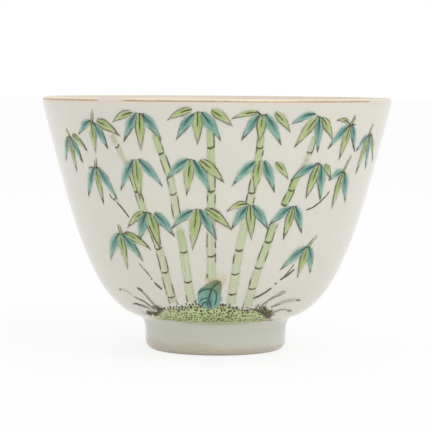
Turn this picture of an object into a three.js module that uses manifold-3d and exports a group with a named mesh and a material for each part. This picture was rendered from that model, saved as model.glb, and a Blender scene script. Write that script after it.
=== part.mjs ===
// A porcelain teacup without a handle: a thrown bowl luted to a foot ring, glazed inside and out,
// painted in raised enamels with a bamboo grove and gilded at the lip.
// It stands on z = 0 with its axis on Z, and its painted front faces -Y.

import * as THREE from "three";
import { mergeVertices } from "three/addons/utils/BufferGeometryUtils.js";
import Module from "manifold-3d";

const wasm = await Module();
wasm.setup();

// Bowl sizes in millimetres, taken over the glaze
const LIP_RADIUS = 39.68; // outside of the wall where the lip's round begins
const LIP_SPRING = 56.05; // height where the lip's round begins
const LIP_LEAN = 6.35; // outward lean of the upper wall
const LIP_RUN = 24.3; // height over which the upper wall takes that lean
const LIP_EASE = 1; // thickness of the wall that rounds off outside the crown
const LIP_RISE = 1.2; // height of the crown over the start of the round
const BELLY_REACH = 10.6; // outward run of the belly where it leaves the foot
const BELLY_RISE = 3.5; // rise of the belly over that run
const WALL_AT_LIP = 1.45;
const WALL_AT_FOOT = 3.2;
const FLOOR_THICKNESS = 3.25; // from the foot's joint up to the floor inside
const FLOOR_EASE = 5; // run of the curve from the floor up into the wall
const GLAZE = 0.25;

// Foot ring sizes, taken over the glaze
const FOOT_RADIUS = 16.12; // outside of the ring where the hollow above it begins
const FOOT_HEIGHT = 6.4; // height of the joint with the bowl
const FOOT_TAPER = 0.1; // how much the ring draws in towards its toe
const FOOT_WALL = 3.1;
const TOE_ROUND = 1.8; // round at the outer edge of the foot
const TOE_BARE = 0.4; // share of that round left bare, from the table up
const HEEL_BEVEL = 0.6; // bare bevel at the inner edge of the foot
const COVE_REACH = 2.18; // hollow between the foot and the belly, across
const COVE_DROP = 2.1; // how far below the joint the hollow begins
const COVE_RISE = 1.45; // how far above the joint it ends

// Gold over the crown of the lip
const GILT_THICKNESS = 0.12;

// Enamel sizes
const ENAMEL_THICKNESS = 0.2;
const ENAMEL_SEAT = 0.1; // clearance under each coat of enamel
const LEAF_WIDTH = 2;
const LEAF_ARCH = 1.2; // height by which a leaf's spine bows upwards
const STROKE_TIP = 0.2; // blunt width where a brush stroke ends
const KNOT_SIZE = 1.2; // knot that the leaves of a spray hang from
const STEM_WIDTH = 0.7;
const CULM_WIDTH_LOW = 2;
const CULM_WIDTH_HIGH = 1.3;
const TWIG_WIDTH = 0.5;
const BLADE_WIDTH = 1.1;
const SCRUB_WIDTH = 2.2; // low growth that the grass blades rise from
const BROAD_LEAF_WIDTH = 5.8;

// Facet counts
const AROUND = 48;
const WALL_STEPS = 8;
const COVE_STEPS = 2;
const LIP_STEPS = 3;
const GILT_FACETS_OUTSIDE = 2; // facets of the lip's round that the gold covers, from the crown outwards
const GILT_FACETS_INSIDE = 1;
const FLOOR_STEPS = 3;
const TOE_STEPS = 3;
const LEAF_STEPS = 4;
const CULM_STEPS = 10;
const MOUND_STEPS = 16;
const MOUND_ROWS = 4;

// Percents at the two ends of the wall, which the painting's heights are counted between
const FOOT_PERCENT = 2.05;
const LIP_PERCENT = 98.55;

// Enamel layers: growth on the glaze, and leaves that cross over it
const UNDER_LIFT = ENAMEL_SEAT;
const OVER_LIFT = ENAMEL_SEAT + ENAMEL_THICKNESS + ENAMEL_SEAT;

const cup = new THREE.Group();
cup.rotation.x = Math.PI / 2;

function finish(color, roughness, metalness = 0) {
  return new THREE.MeshStandardMaterial({ color, roughness, metalness });
}

const biscuit = finish("#d9d2c4", 0.75);
const clearGlaze = finish("#dcdacf", 0.12);
const gilt = finish("#cfae78", 0.28, 1);
const leafEnamel = finish("#7fae95", 0.2);
const culmEnamel = finish("#bcc89c", 0.2);
const tealEnamel = finish("#5c8478", 0.2);
const moundEnamel = finish("#a0a884", 0.25);
const grassEnamel = finish("#6f7a68", 0.25);
const twigEnamel = finish("#6b5a48", 0.3);

function addMesh(name, geometry, material) {
  const mesh = new THREE.Mesh(geometry, material);
  mesh.name = name;
  cup.add(mesh);
}

function shares(steps) {
  return Array.from({ length: steps + 1 }, (_, step) => step / steps);
}

// Outer meridian of the glazed wall, as radius and height
const haunch = new THREE.Vector2(FOOT_RADIUS + COVE_REACH, FOOT_HEIGHT + COVE_RISE);
const spring = new THREE.Vector2(LIP_RADIUS, LIP_SPRING);
const belly = new THREE.Vector2(BELLY_REACH, BELLY_RISE);
const flare = new THREE.Vector2(LIP_LEAN, LIP_RUN);
const meridian = new THREE.CubicBezierCurve(
  haunch,
  haunch.clone().add(belly),
  spring.clone().sub(flare),
  spring,
);

// Point of the wall's section at a depth below the outer glaze
function wallPoint(share, depth) {
  const along = meridian.getTangent(share);
  const at = meridian.getPoint(share);
  return new THREE.Vector2(at.x - along.y * depth, at.y + along.x * depth);
}

function wallThickness(share) {
  return THREE.MathUtils.lerp(WALL_AT_FOOT, WALL_AT_LIP, share);
}

// Lip's round, from the outside at 0 over the crown at 0.5 to the inside at 1
function lipPoint(share, depth) {
  const along = meridian.getTangent(1);
  const centre = wallPoint(1, LIP_EASE);
  const reach = (share < 0.5 ? LIP_EASE : WALL_AT_LIP - LIP_EASE) - depth;
  const out = reach * Math.cos(Math.PI * share);
  const up = (LIP_RISE - depth) * Math.sin(Math.PI * share);
  return new THREE.Vector2(centre.x + along.y * out + along.x * up, centre.y - along.x * out + along.y * up);
}

// Hollow that carries the foot's side into the belly
function coveCurve(depth) {
  const end = wallPoint(0, depth);
  const start = new THREE.Vector2(FOOT_RADIUS - depth, FOOT_HEIGHT - COVE_DROP);
  const corner = new THREE.Vector2(start.x, end.y - ((end.x - start.x) * BELLY_RISE) / BELLY_REACH);
  return new THREE.QuadraticBezierCurve(start, corner, end);
}

// Share of the hollow that lies on the foot ring, below its joint with the bowl
function jointShare(depth) {
  const { v0, v1, v2 } = coveCurve(depth);
  const rise = v1.y - v0.y;
  const bend = v2.y - v1.y - rise;
  return COVE_DROP / (rise + Math.sqrt(rise ** 2 + bend * COVE_DROP));
}

function cove(from, to, depth) {
  const curve = coveCurve(depth);
  return shares(COVE_STEPS).map((share) => curve.getPoint(THREE.MathUtils.lerp(from, to, share)));
}

// Floor inside the cup, from the wall's foot at 0 to the axis at 1
function floorPoint(share, depth) {
  const level = FOOT_HEIGHT + FLOOR_THICKNESS - depth;
  const start = wallPoint(0, wallThickness(0) - depth);
  const corner = new THREE.Vector2(start.x - FLOOR_EASE, level);
  return new THREE.QuadraticBezierCurve(start, corner, new THREE.Vector2(0, level)).getPoint(share);
}

// Outside of the bowl from the foot's joint up to the crown of the lip
function outerSkin(depth) {
  return [
    ...cove(jointShare(depth), 1, depth),
    ...shares(WALL_STEPS).slice(1).map((share) => wallPoint(share, depth)),
    ...shares(LIP_STEPS).slice(1).map((share) => lipPoint(share / 2, depth)),
  ];
}

// Inside of the bowl from the crown of the lip down to the middle of the floor
function innerSkin(depth) {
  return [
    ...shares(LIP_STEPS).map((share) => lipPoint(0.5 + share / 2, depth)),
    ...shares(WALL_STEPS).toReversed().slice(1).map((share) => wallPoint(share, wallThickness(share) - depth)),
    ...shares(FLOOR_STEPS).slice(1).map((share) => floorPoint(share, depth)),
  ];
}

// Radius of the recess inside the foot ring, up to the bare body
const recessRadius = FOOT_RADIUS - GLAZE - FOOT_WALL;

// Toe's round, from the table at 0 to the foot's side at 1
function toePoint(share, depth) {
  const turn = (Math.PI / 2) * share;
  const reach = TOE_ROUND - depth;
  const inset = FOOT_RADIUS - FOOT_TAPER - TOE_ROUND;
  return new THREE.Vector2(inset + reach * Math.sin(turn), TOE_ROUND - reach * Math.cos(turn));
}

// Part of the toe's round that is glazed, up to the foot's side
function glazedToe(depth) {
  return shares(TOE_STEPS).map((share) => toePoint(THREE.MathUtils.lerp(TOE_BARE, 1, share), depth));
}

// Outside of the foot ring from its glazed toe up to the joint
function footSide(depth) {
  return [...glazedToe(depth), ...cove(0, jointShare(depth), depth)];
}

function turned(name, profile, material) {
  addMesh(name, new THREE.LatheGeometry(profile, AROUND), material);
}

function closed(profile) {
  return [...profile, profile[0].clone()];
}

function addBowl() {
  const underside = new THREE.Vector2(0, FOOT_HEIGHT);
  turned("bowl_wall", [underside, ...outerSkin(GLAZE), ...innerSkin(GLAZE).slice(1)], biscuit);
}

function addFootRing() {
  const ring = [
    ...shares(TOE_STEPS).map((share) => toePoint(TOE_BARE * share, 0)),
    ...footSide(GLAZE),
    new THREE.Vector2(recessRadius, FOOT_HEIGHT),
    new THREE.Vector2(recessRadius, HEEL_BEVEL),
    new THREE.Vector2(recessRadius + HEEL_BEVEL, 0),
  ];
  turned("foot_ring", closed(ring), biscuit);
}

function addGlazes() {
  const outside = [...footSide(0), ...outerSkin(0).slice(1)];
  const outsideBack = [...footSide(GLAZE), ...outerSkin(GLAZE).slice(1)].reverse();
  turned("outer_glaze", closed([...outside, ...outsideBack]), clearGlaze);

  const inside = innerSkin(0);
  const insideBack = innerSkin(GLAZE).reverse();
  turned("inner_glaze", [...insideBack, ...inside], clearGlaze);

  const lining = [
    new THREE.Vector2(0, FOOT_HEIGHT - GLAZE),
    new THREE.Vector2(recessRadius - GLAZE, FOOT_HEIGHT - GLAZE),
    new THREE.Vector2(recessRadius - GLAZE, HEEL_BEVEL),
    new THREE.Vector2(recessRadius, HEEL_BEVEL),
    new THREE.Vector2(recessRadius, FOOT_HEIGHT),
    new THREE.Vector2(0, FOOT_HEIGHT),
  ];
  turned("base_glaze", lining, clearGlaze);
}

// Gold film over the crown of the lip, on the same facets as the glaze under it
function addGiltRim() {
  const facets = shares(2 * LIP_STEPS).slice(LIP_STEPS - GILT_FACETS_OUTSIDE, LIP_STEPS + GILT_FACETS_INSIDE + 1);
  const film = (depth) => facets.map((share) => lipPoint(share, depth));
  turned("gilt_rim", closed([...film(-GILT_THICKNESS), ...film(0).reverse()]), gilt);
}

function wallShare(percent) {
  return (percent - FOOT_PERCENT) / (LIP_PERCENT - FOOT_PERCENT);
}

// Place on the wall: degrees round from the front, percent of the way up, millimetres off the glaze
function onWall(degrees, percent, lift) {
  const share = wallShare(percent);
  const at = meridian.getPointAt(share);
  const along = meridian.getTangentAt(share);
  const radius = at.x + along.y * lift;
  const turn = THREE.MathUtils.degToRad(degrees);
  return new THREE.Vector3(radius * Math.sin(turn), at.y - along.x * lift, radius * Math.cos(turn));
}

function millimetresPerPercent() {
  return meridian.getLength() / (LIP_PERCENT - FOOT_PERCENT);
}

function millimetresPerDegree(percent) {
  return THREE.MathUtils.degToRad(meridian.getPointAt(wallShare(percent)).x);
}

// Brush stroke along a spine of degrees and percent, laid out flat, as wide in millimetres as widthAt says
function stroke(spine, widthAt, steps, rows = 1) {
  const box = new THREE.BoxGeometry(1, 1, ENAMEL_THICKNESS, rows, steps, 1);
  box.translate(0, 0.5, ENAMEL_THICKNESS / 2);
  const points = box.attributes.position;
  for (let index = 0; index < points.count; index += 1) {
    const share = points.getY(index);
    const at = spine.getPoint(share);
    const ahead = spine.getTangent(share);
    const perDegree = millimetresPerDegree(at.y);
    const perPercent = millimetresPerPercent();
    const heading = new THREE.Vector2(ahead.x * perDegree, ahead.y * perPercent).normalize();
    const side = points.getX(index) * widthAt(share);
    points.setXY(index, at.x + (heading.y * side) / perDegree, at.y - (heading.x * side) / perPercent);
  }
  return box;
}

// Bends a flat layout of degrees, percent and thickness onto the wall
function wrapped(flat, lift) {
  const points = flat.attributes.position;
  for (let index = 0; index < points.count; index += 1) {
    const place = onWall(points.getX(index), points.getY(index), lift + points.getZ(index));
    points.setXYZ(index, place.x, place.y, place.z);
  }
  flat.computeVertexNormals();
  return flat;
}

function solidOf(geometry) {
  const bare = geometry.clone();
  bare.deleteAttribute("normal");
  bare.deleteAttribute("uv");
  const merged = mergeVertices(bare);
  const mesh = new wasm.Mesh({
    numProp: 3,
    vertProperties: new Float32Array(merged.attributes.position.array),
    triVerts: new Uint32Array(merged.index.array),
  });
  return new wasm.Manifold(mesh);
}

function joined(strokes) {
  const mesh = strokes.map(solidOf).reduce((whole, next) => whole.add(next)).getMesh();
  const geometry = new THREE.BufferGeometry();
  geometry.setAttribute("position", new THREE.BufferAttribute(mesh.vertProperties, 3));
  geometry.setIndex(new THREE.BufferAttribute(mesh.triVerts, 1));
  return geometry;
}

function spineThrough(places) {
  return new THREE.SplineCurve(places.map(([degrees, percent]) => new THREE.Vector2(degrees, percent)));
}

// Width that swells from a blunt end to the middle and draws out to a blunt tip
function leafShape(width) {
  return (share) => STROKE_TIP + (width - STROKE_TIP) * Math.sin(Math.PI * share ** 0.8);
}

function taper(start, end) {
  return (share) => THREE.MathUtils.lerp(start, end, share);
}

function leaf(joint, tip) {
  const start = new THREE.Vector2(...joint);
  const end = new THREE.Vector2(...tip);
  const bow = start.clone().lerp(end, 0.5);
  bow.y += LEAF_ARCH / millimetresPerPercent();
  return stroke(new THREE.QuadraticBezierCurve(start, bow, end), leafShape(LEAF_WIDTH), LEAF_STEPS);
}

// Leaves that hang from one knot, with the end of their stem above it where it shows
function addSpray(name, joint, tips, stemEnd = null) {
  const half = KNOT_SIZE / 2 / millimetresPerPercent();
  const knotSpine = spineThrough([[joint[0], joint[1] - half], [joint[0], joint[1] + half]]);
  const strokes = [stroke(knotSpine, taper(KNOT_SIZE, KNOT_SIZE), 1)];
  for (const tip of tips) {
    strokes.push(leaf(joint, tip));
  }
  if (stemEnd) {
    strokes.push(stroke(spineThrough([joint, stemEnd]), taper(STEM_WIDTH, STEM_WIDTH), 1));
  }
  addMesh(name, wrapped(joined(strokes), OVER_LIFT), leafEnamel);
}

function addCulm(name, places) {
  const flat = stroke(spineThrough(places), taper(CULM_WIDTH_LOW, CULM_WIDTH_HIGH), CULM_STEPS);
  addMesh(name, wrapped(flat, UNDER_LIFT), culmEnamel);
}

function addTwig(name, places) {
  const flat = stroke(spineThrough(places), taper(TWIG_WIDTH, TWIG_WIDTH), places.length * 2);
  addMesh(name, wrapped(flat, UNDER_LIFT), twigEnamel);
}

// Grass blades that rise out of a low stroke of scrub
function addGrass(name, scrub, blades) {
  const strokes = [stroke(spineThrough(scrub), leafShape(SCRUB_WIDTH), LEAF_STEPS)];
  for (const blade of blades) {
    strokes.push(stroke(spineThrough(blade), taper(BLADE_WIDTH, STROKE_TIP), LEAF_STEPS));
  }
  addMesh(name, wrapped(joined(strokes), OVER_LIFT), grassEnamel);
}

// Earth bank round the foot of the wall, between a low line and its crest
function addMound(lowLine, crest) {
  const crestLine = spineThrough(crest);
  const box = new THREE.BoxGeometry(1, 1, ENAMEL_THICKNESS, MOUND_STEPS, MOUND_ROWS, 1);
  box.translate(0.5, 0.5, ENAMEL_THICKNESS / 2);
  const points = box.attributes.position;
  for (let index = 0; index < points.count; index += 1) {
    const top = crestLine.getPoint(points.getX(index));
    points.setXY(index, top.x, THREE.MathUtils.lerp(lowLine, top.y, points.getY(index)));
  }
  addMesh("earth_mound", wrapped(box, UNDER_LIFT), moundEnamel);
}

function addBroadLeaf(base, tip) {
  const flat = stroke(spineThrough([base, tip]), leafShape(BROAD_LEAF_WIDTH), 2 * LEAF_STEPS, 4);
  addMesh("broad_leaf", wrapped(flat, OVER_LIFT), tealEnamel);
}

addBowl();
addFootRing();
addGlazes();
addGiltRim();

// Painting, each place as degrees round from the front and percent of the way up the wall
addMound(2.5, [[-45, 3.5], [-38, 8], [-24, 14.5], [-8, 17.8], [6, 16.7], [20, 13.5], [33, 7], [42, 3]]);

addCulm("culm_1", [[-22.2, 16.5], [-22.4, 31], [-24, 44], [-28.1, 59], [-32, 75], [-36.5, 87]]);
addCulm("culm_2", [[-12.2, 19], [-13, 40], [-15, 60], [-17, 74], [-20.5, 88]]);
addCulm("culm_3", [[-1.9, 29.5], [-1.9, 46], [-1.8, 60], [-1.9, 80], [-2.2, 90]]);
addCulm("culm_4", [[7.9, 17.5], [8.4, 31], [10.2, 50], [12.6, 66], [14.2, 83], [14.3, 92]]);
addCulm("culm_5", [[16.5, 16], [18.3, 33], [22.3, 52], [27, 65], [31.5, 77], [33.3, 86]]);

addTwig("twig_left_low", [[-26, 23], [-30, 27.8], [-34.8, 34.5]]);
addTwig("twig_left_high", [[-34.5, 53.5], [-37, 57], [-39.5, 60]]);
addTwig("twig_right_low", [[20.5, 20], [27, 24.3], [36.5, 32.3]]);
addTwig("twig_right_high", [[35, 57], [38, 58], [41, 60], [43.5, 62.5]]);

addSpray("crown_spray_1", [-58.5, 85.5], [[-66.5, 75], [-59, 70.5], [-53.3, 74.5], [-49, 79.5]], [-60, 88.5]);
addSpray("crown_spray_2", [-44, 91.8], [[-52.5, 86], [-45, 79], [-38.7, 80.7], [-34, 86.8]], [-42.8, 96]);
addSpray("crown_spray_3", [-25, 95.3], [[-35.2, 91.5], [-31.7, 84.5], [-25.7, 80.5], [-18, 85]]);
addSpray("crown_spray_4", [-6, 96], [[-15.5, 92.8], [-13.2, 85], [-6.2, 83.3], [1.4, 84.8], [4, 90.5]]);
addSpray("crown_spray_5", [14, 95], [[5, 93.4], [7.8, 85], [13.8, 84.5], [21.3, 83.3], [23, 88.3]]);
addSpray("crown_spray_6", [33.5, 94.5], [[24.5, 91.2], [26.2, 82.3], [35.6, 80], [40.5, 85.5]]);
addSpray("crown_spray_7", [48.5, 91], [[41.5, 92.8], [40.5, 82], [46.7, 78], [53.5, 80.5]], [50, 94.5]);
addSpray("crown_spray_8", [61.5, 86.5], [[55.5, 80.5], [58.7, 71], [66.3, 72], [73, 75]], [63, 91.5]);

addSpray("middle_spray_1", [-46.5, 73.5], [[-54.8, 61], [-46.3, 58.3], [-38.5, 60.5]], [-45.3, 77.5]);
addSpray("middle_spray_2", [-28, 77], [[-36.2, 64.5], [-28.4, 62], [-19, 66.5]]);
addSpray("middle_spray_3", [-8.5, 77.5], [[-17.5, 69.2], [-10.5, 63.3], [-1.8, 64], [2.7, 68.3]]);
addSpray("middle_spray_4", [14.5, 77], [[5.3, 67], [13.4, 64.7], [20.8, 64.5], [24.5, 70.5]]);
addSpray("middle_spray_5", [37.3, 75.5], [[27.2, 69.5], [33.9, 61.3], [41, 60.5], [42.5, 71]]);
addSpray("middle_spray_6", [50, 72], [[44.5, 69.5], [48.2, 57], [56.3, 59]], [52.5, 78]);

addSpray("low_spray_1", [-26, 56], [[-36.3, 49.2], [-31.8, 45.5], [-22.8, 41.3], [-17, 47.5]]);
addSpray("low_spray_2", [-7, 58], [[-15, 51], [-9.4, 42], [0.2, 45.2], [4.5, 50.3]]);
addSpray("low_spray_3", [12, 59.5], [[3.8, 57], [6.3, 50.5], [13.8, 45.3], [19, 50.5]]);
addSpray("low_spray_4", [29, 58.8], [[21.5, 52], [27.2, 45.2], [35.2, 47.3]]);

addSpray("side_spray_left", [-40.5, 46.8], [[-51.7, 34.5], [-42, 31], [-32, 35.3], [-28, 41]], [-40.5, 50.5]);
addSpray("side_spray_right", [40, 41.8], [[28.8, 32.7], [39.3, 28.3], [47, 29.7]], [43.5, 46]);

addBroadLeaf([-4, 13.6], [1.8, 28]);

addGrass("grass_left", [[-46, 7], [-38, 10.5], [-30, 12]], [
  [[-33, 12], [-36.5, 18.5], [-39.5, 22.8]],
  [[-37, 11], [-40.5, 15.8], [-45.5, 17.8]],
  [[-41, 9.5], [-45, 13], [-50.5, 13.8]],
]);
addGrass("grass_right", [[23, 13], [30, 11], [38, 7]], [
  [[26, 12], [29, 19], [35.3, 21.8]],
  [[31, 10.5], [39, 16], [50, 16.3]],
  [[34, 9.5], [40, 11.5], [49, 10]],
]);

export default cup;
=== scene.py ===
"""Handle-less porcelain teacup: turned body, glazes, gilt lip and a bamboo grove in raised enamels."""

import math
import random

import bmesh
import bpy
from bpy.props import FloatProperty, FloatVectorProperty, PointerProperty
from mathutils import Matrix, Vector


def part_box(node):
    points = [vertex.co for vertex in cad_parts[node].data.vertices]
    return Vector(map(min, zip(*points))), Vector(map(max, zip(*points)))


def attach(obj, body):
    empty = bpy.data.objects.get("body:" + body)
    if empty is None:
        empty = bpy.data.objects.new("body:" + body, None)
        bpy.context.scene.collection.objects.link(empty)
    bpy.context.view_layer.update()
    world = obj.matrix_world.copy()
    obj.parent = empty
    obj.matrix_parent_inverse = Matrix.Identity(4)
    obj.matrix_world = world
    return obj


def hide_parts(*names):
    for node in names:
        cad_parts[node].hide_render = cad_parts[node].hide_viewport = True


bl_info = {
    "name": "Bamboo Grove Teacup",
    "version": (1, 0, 0),
    "blender": (4, 5, 0),
    "location": "View3D > Sidebar > Teacup",
    "description": "Turns, glazes, gilds and paints a handle-less porcelain teacup",
    "category": "Add Mesh",
}

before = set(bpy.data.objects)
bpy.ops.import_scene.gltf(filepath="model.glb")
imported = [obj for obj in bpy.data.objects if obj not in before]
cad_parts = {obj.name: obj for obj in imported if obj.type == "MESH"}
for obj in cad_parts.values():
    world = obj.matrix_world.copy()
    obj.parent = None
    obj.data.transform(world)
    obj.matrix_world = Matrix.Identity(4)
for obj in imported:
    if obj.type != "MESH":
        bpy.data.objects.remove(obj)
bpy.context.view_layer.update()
BODY = "root"
MM = 0.001

# Steps of the turned sections
AROUND = 160
WALL_STEPS = 44
COVE_STEPS = 8
LIP_STEPS = 8
FLOOR_STEPS = 14
TOE_STEPS = 8
SHARP_ANGLE = math.radians(50)
MERGE_DISTANCE = 0.0005 * MM
HALVINGS = 24

# Coats of enamel, as heights over the glaze
STAIN_COAT = 0.01 * MM
MOUND_COAT = 0.02 * MM
MOUND_DOME = 0.05 * MM
CULM_COAT = 0.03 * MM
CULM_DOME = 0.05 * MM
TWIG_COAT = 0.05 * MM
LEAF_COAT = 0.10 * MM
LEAF_DOME = 0.08 * MM
LEAF_STACK = 0.012 * MM
BROAD_COAT = 0.10 * MM
BROAD_DOME = 0.16 * MM
GRASS_COAT = 0.10 * MM
INK_COAT = 0.02 * MM
COAT_DEPTH = 0.16 * MM

# Places of the painting are degrees round from the front and percent up the wall, which lies between these
FOOT_PERCENT = 2.05
LIP_PERCENT = 98.55

# Culms as a line up the middle, washes between two heights, heights of knots, and ink along both sides
CULMS = {
    "culm_1": {
        "spine": ((-22, 15.5), (-22.3, 25), (-22.5, 31), (-23, 38), (-24.6, 47), (-27, 54), (-28.1, 59),
                  (-29.3, 65), (-30.5, 71), (-33, 77.5), (-36.5, 87)),
        "washes": ((15.5, 77, "green"), (75, 87, "pale")),
        "knots": (19.5, 31, 41.2, 64.4, 82),
        "left_ink": ((15.5, 19), (20, 30.5), (31.5, 40), (41, 53), (58, 64), (66, 74)),
        "right_ink": ((15.5, 18), (20, 26), (31.5, 38), (43, 50), (60, 64), (65, 76)),
    },
    "culm_2": {
        "spine": ((-12.2, 17), (-12.5, 27), (-13, 40), (-13.4, 45), (-14.8, 57), (-15.3, 63.7), (-16, 70),
                  (-18.5, 80), (-20.5, 88)),
        "washes": ((17, 51.5, "green"), (52.5, 88, "green")),
        "knots": (27, 40, 63.7, 79.8),
        "left_ink": ((17, 21), (53.7, 60), (66, 70), (72, 78)),
        "right_ink": ((17, 19), (53.7, 63), (73, 79), (80.5, 87)),
    },
    "culm_3": {
        "spine": ((-1.9, 27), (-1.9, 46), (-1.8, 60), (-1.9, 80), (-2.2, 91)),
        "washes": ((27, 91, "green"),),
        "knots": (38.5, 65, 82.3),
        "left_ink": ((29, 31), (42, 48), (60, 64), (66, 70)),
        "right_ink": ((35.5, 40), (42, 45), (60, 64), (66, 76), (82, 88)),
    },
    "culm_4": {
        "spine": ((7.8, 16), (7.9, 21.5), (8.4, 30.8), (9.3, 41), (12, 61), (12.6, 66), (13.8, 77),
                  (14.2, 83), (14.3, 92)),
        "washes": ((16, 92, "green"),),
        "knots": (21.5, 30.8, 41, 64.5, 82.2),
        "left_ink": ((35, 39.5), (60, 64), (65, 70), (80, 86)),
        "right_ink": ((60, 63), (79, 81.5)),
    },
    "culm_5": {
        "spine": ((16.5, 15), (17, 24), (18.3, 33.3), (20.7, 44), (22.1, 51), (26.2, 62), (27.2, 65),
                  (28, 68), (31.5, 77), (33.3, 87)),
        "washes": ((15, 53.5, "green"), (58.5, 75, "deep"), (73, 87, "pale")),
        "knots": (24, 33.3, 44.3, 59.4, 65.2, 80.3),
        "left_ink": ((15, 17), (24.5, 29), (36, 43), (45, 51), (60, 63.5), (66, 72)),
        "right_ink": ((15, 16.5), (36, 41), (44.5, 53), (60.5, 66), (79, 86)),
    },
}

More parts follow.
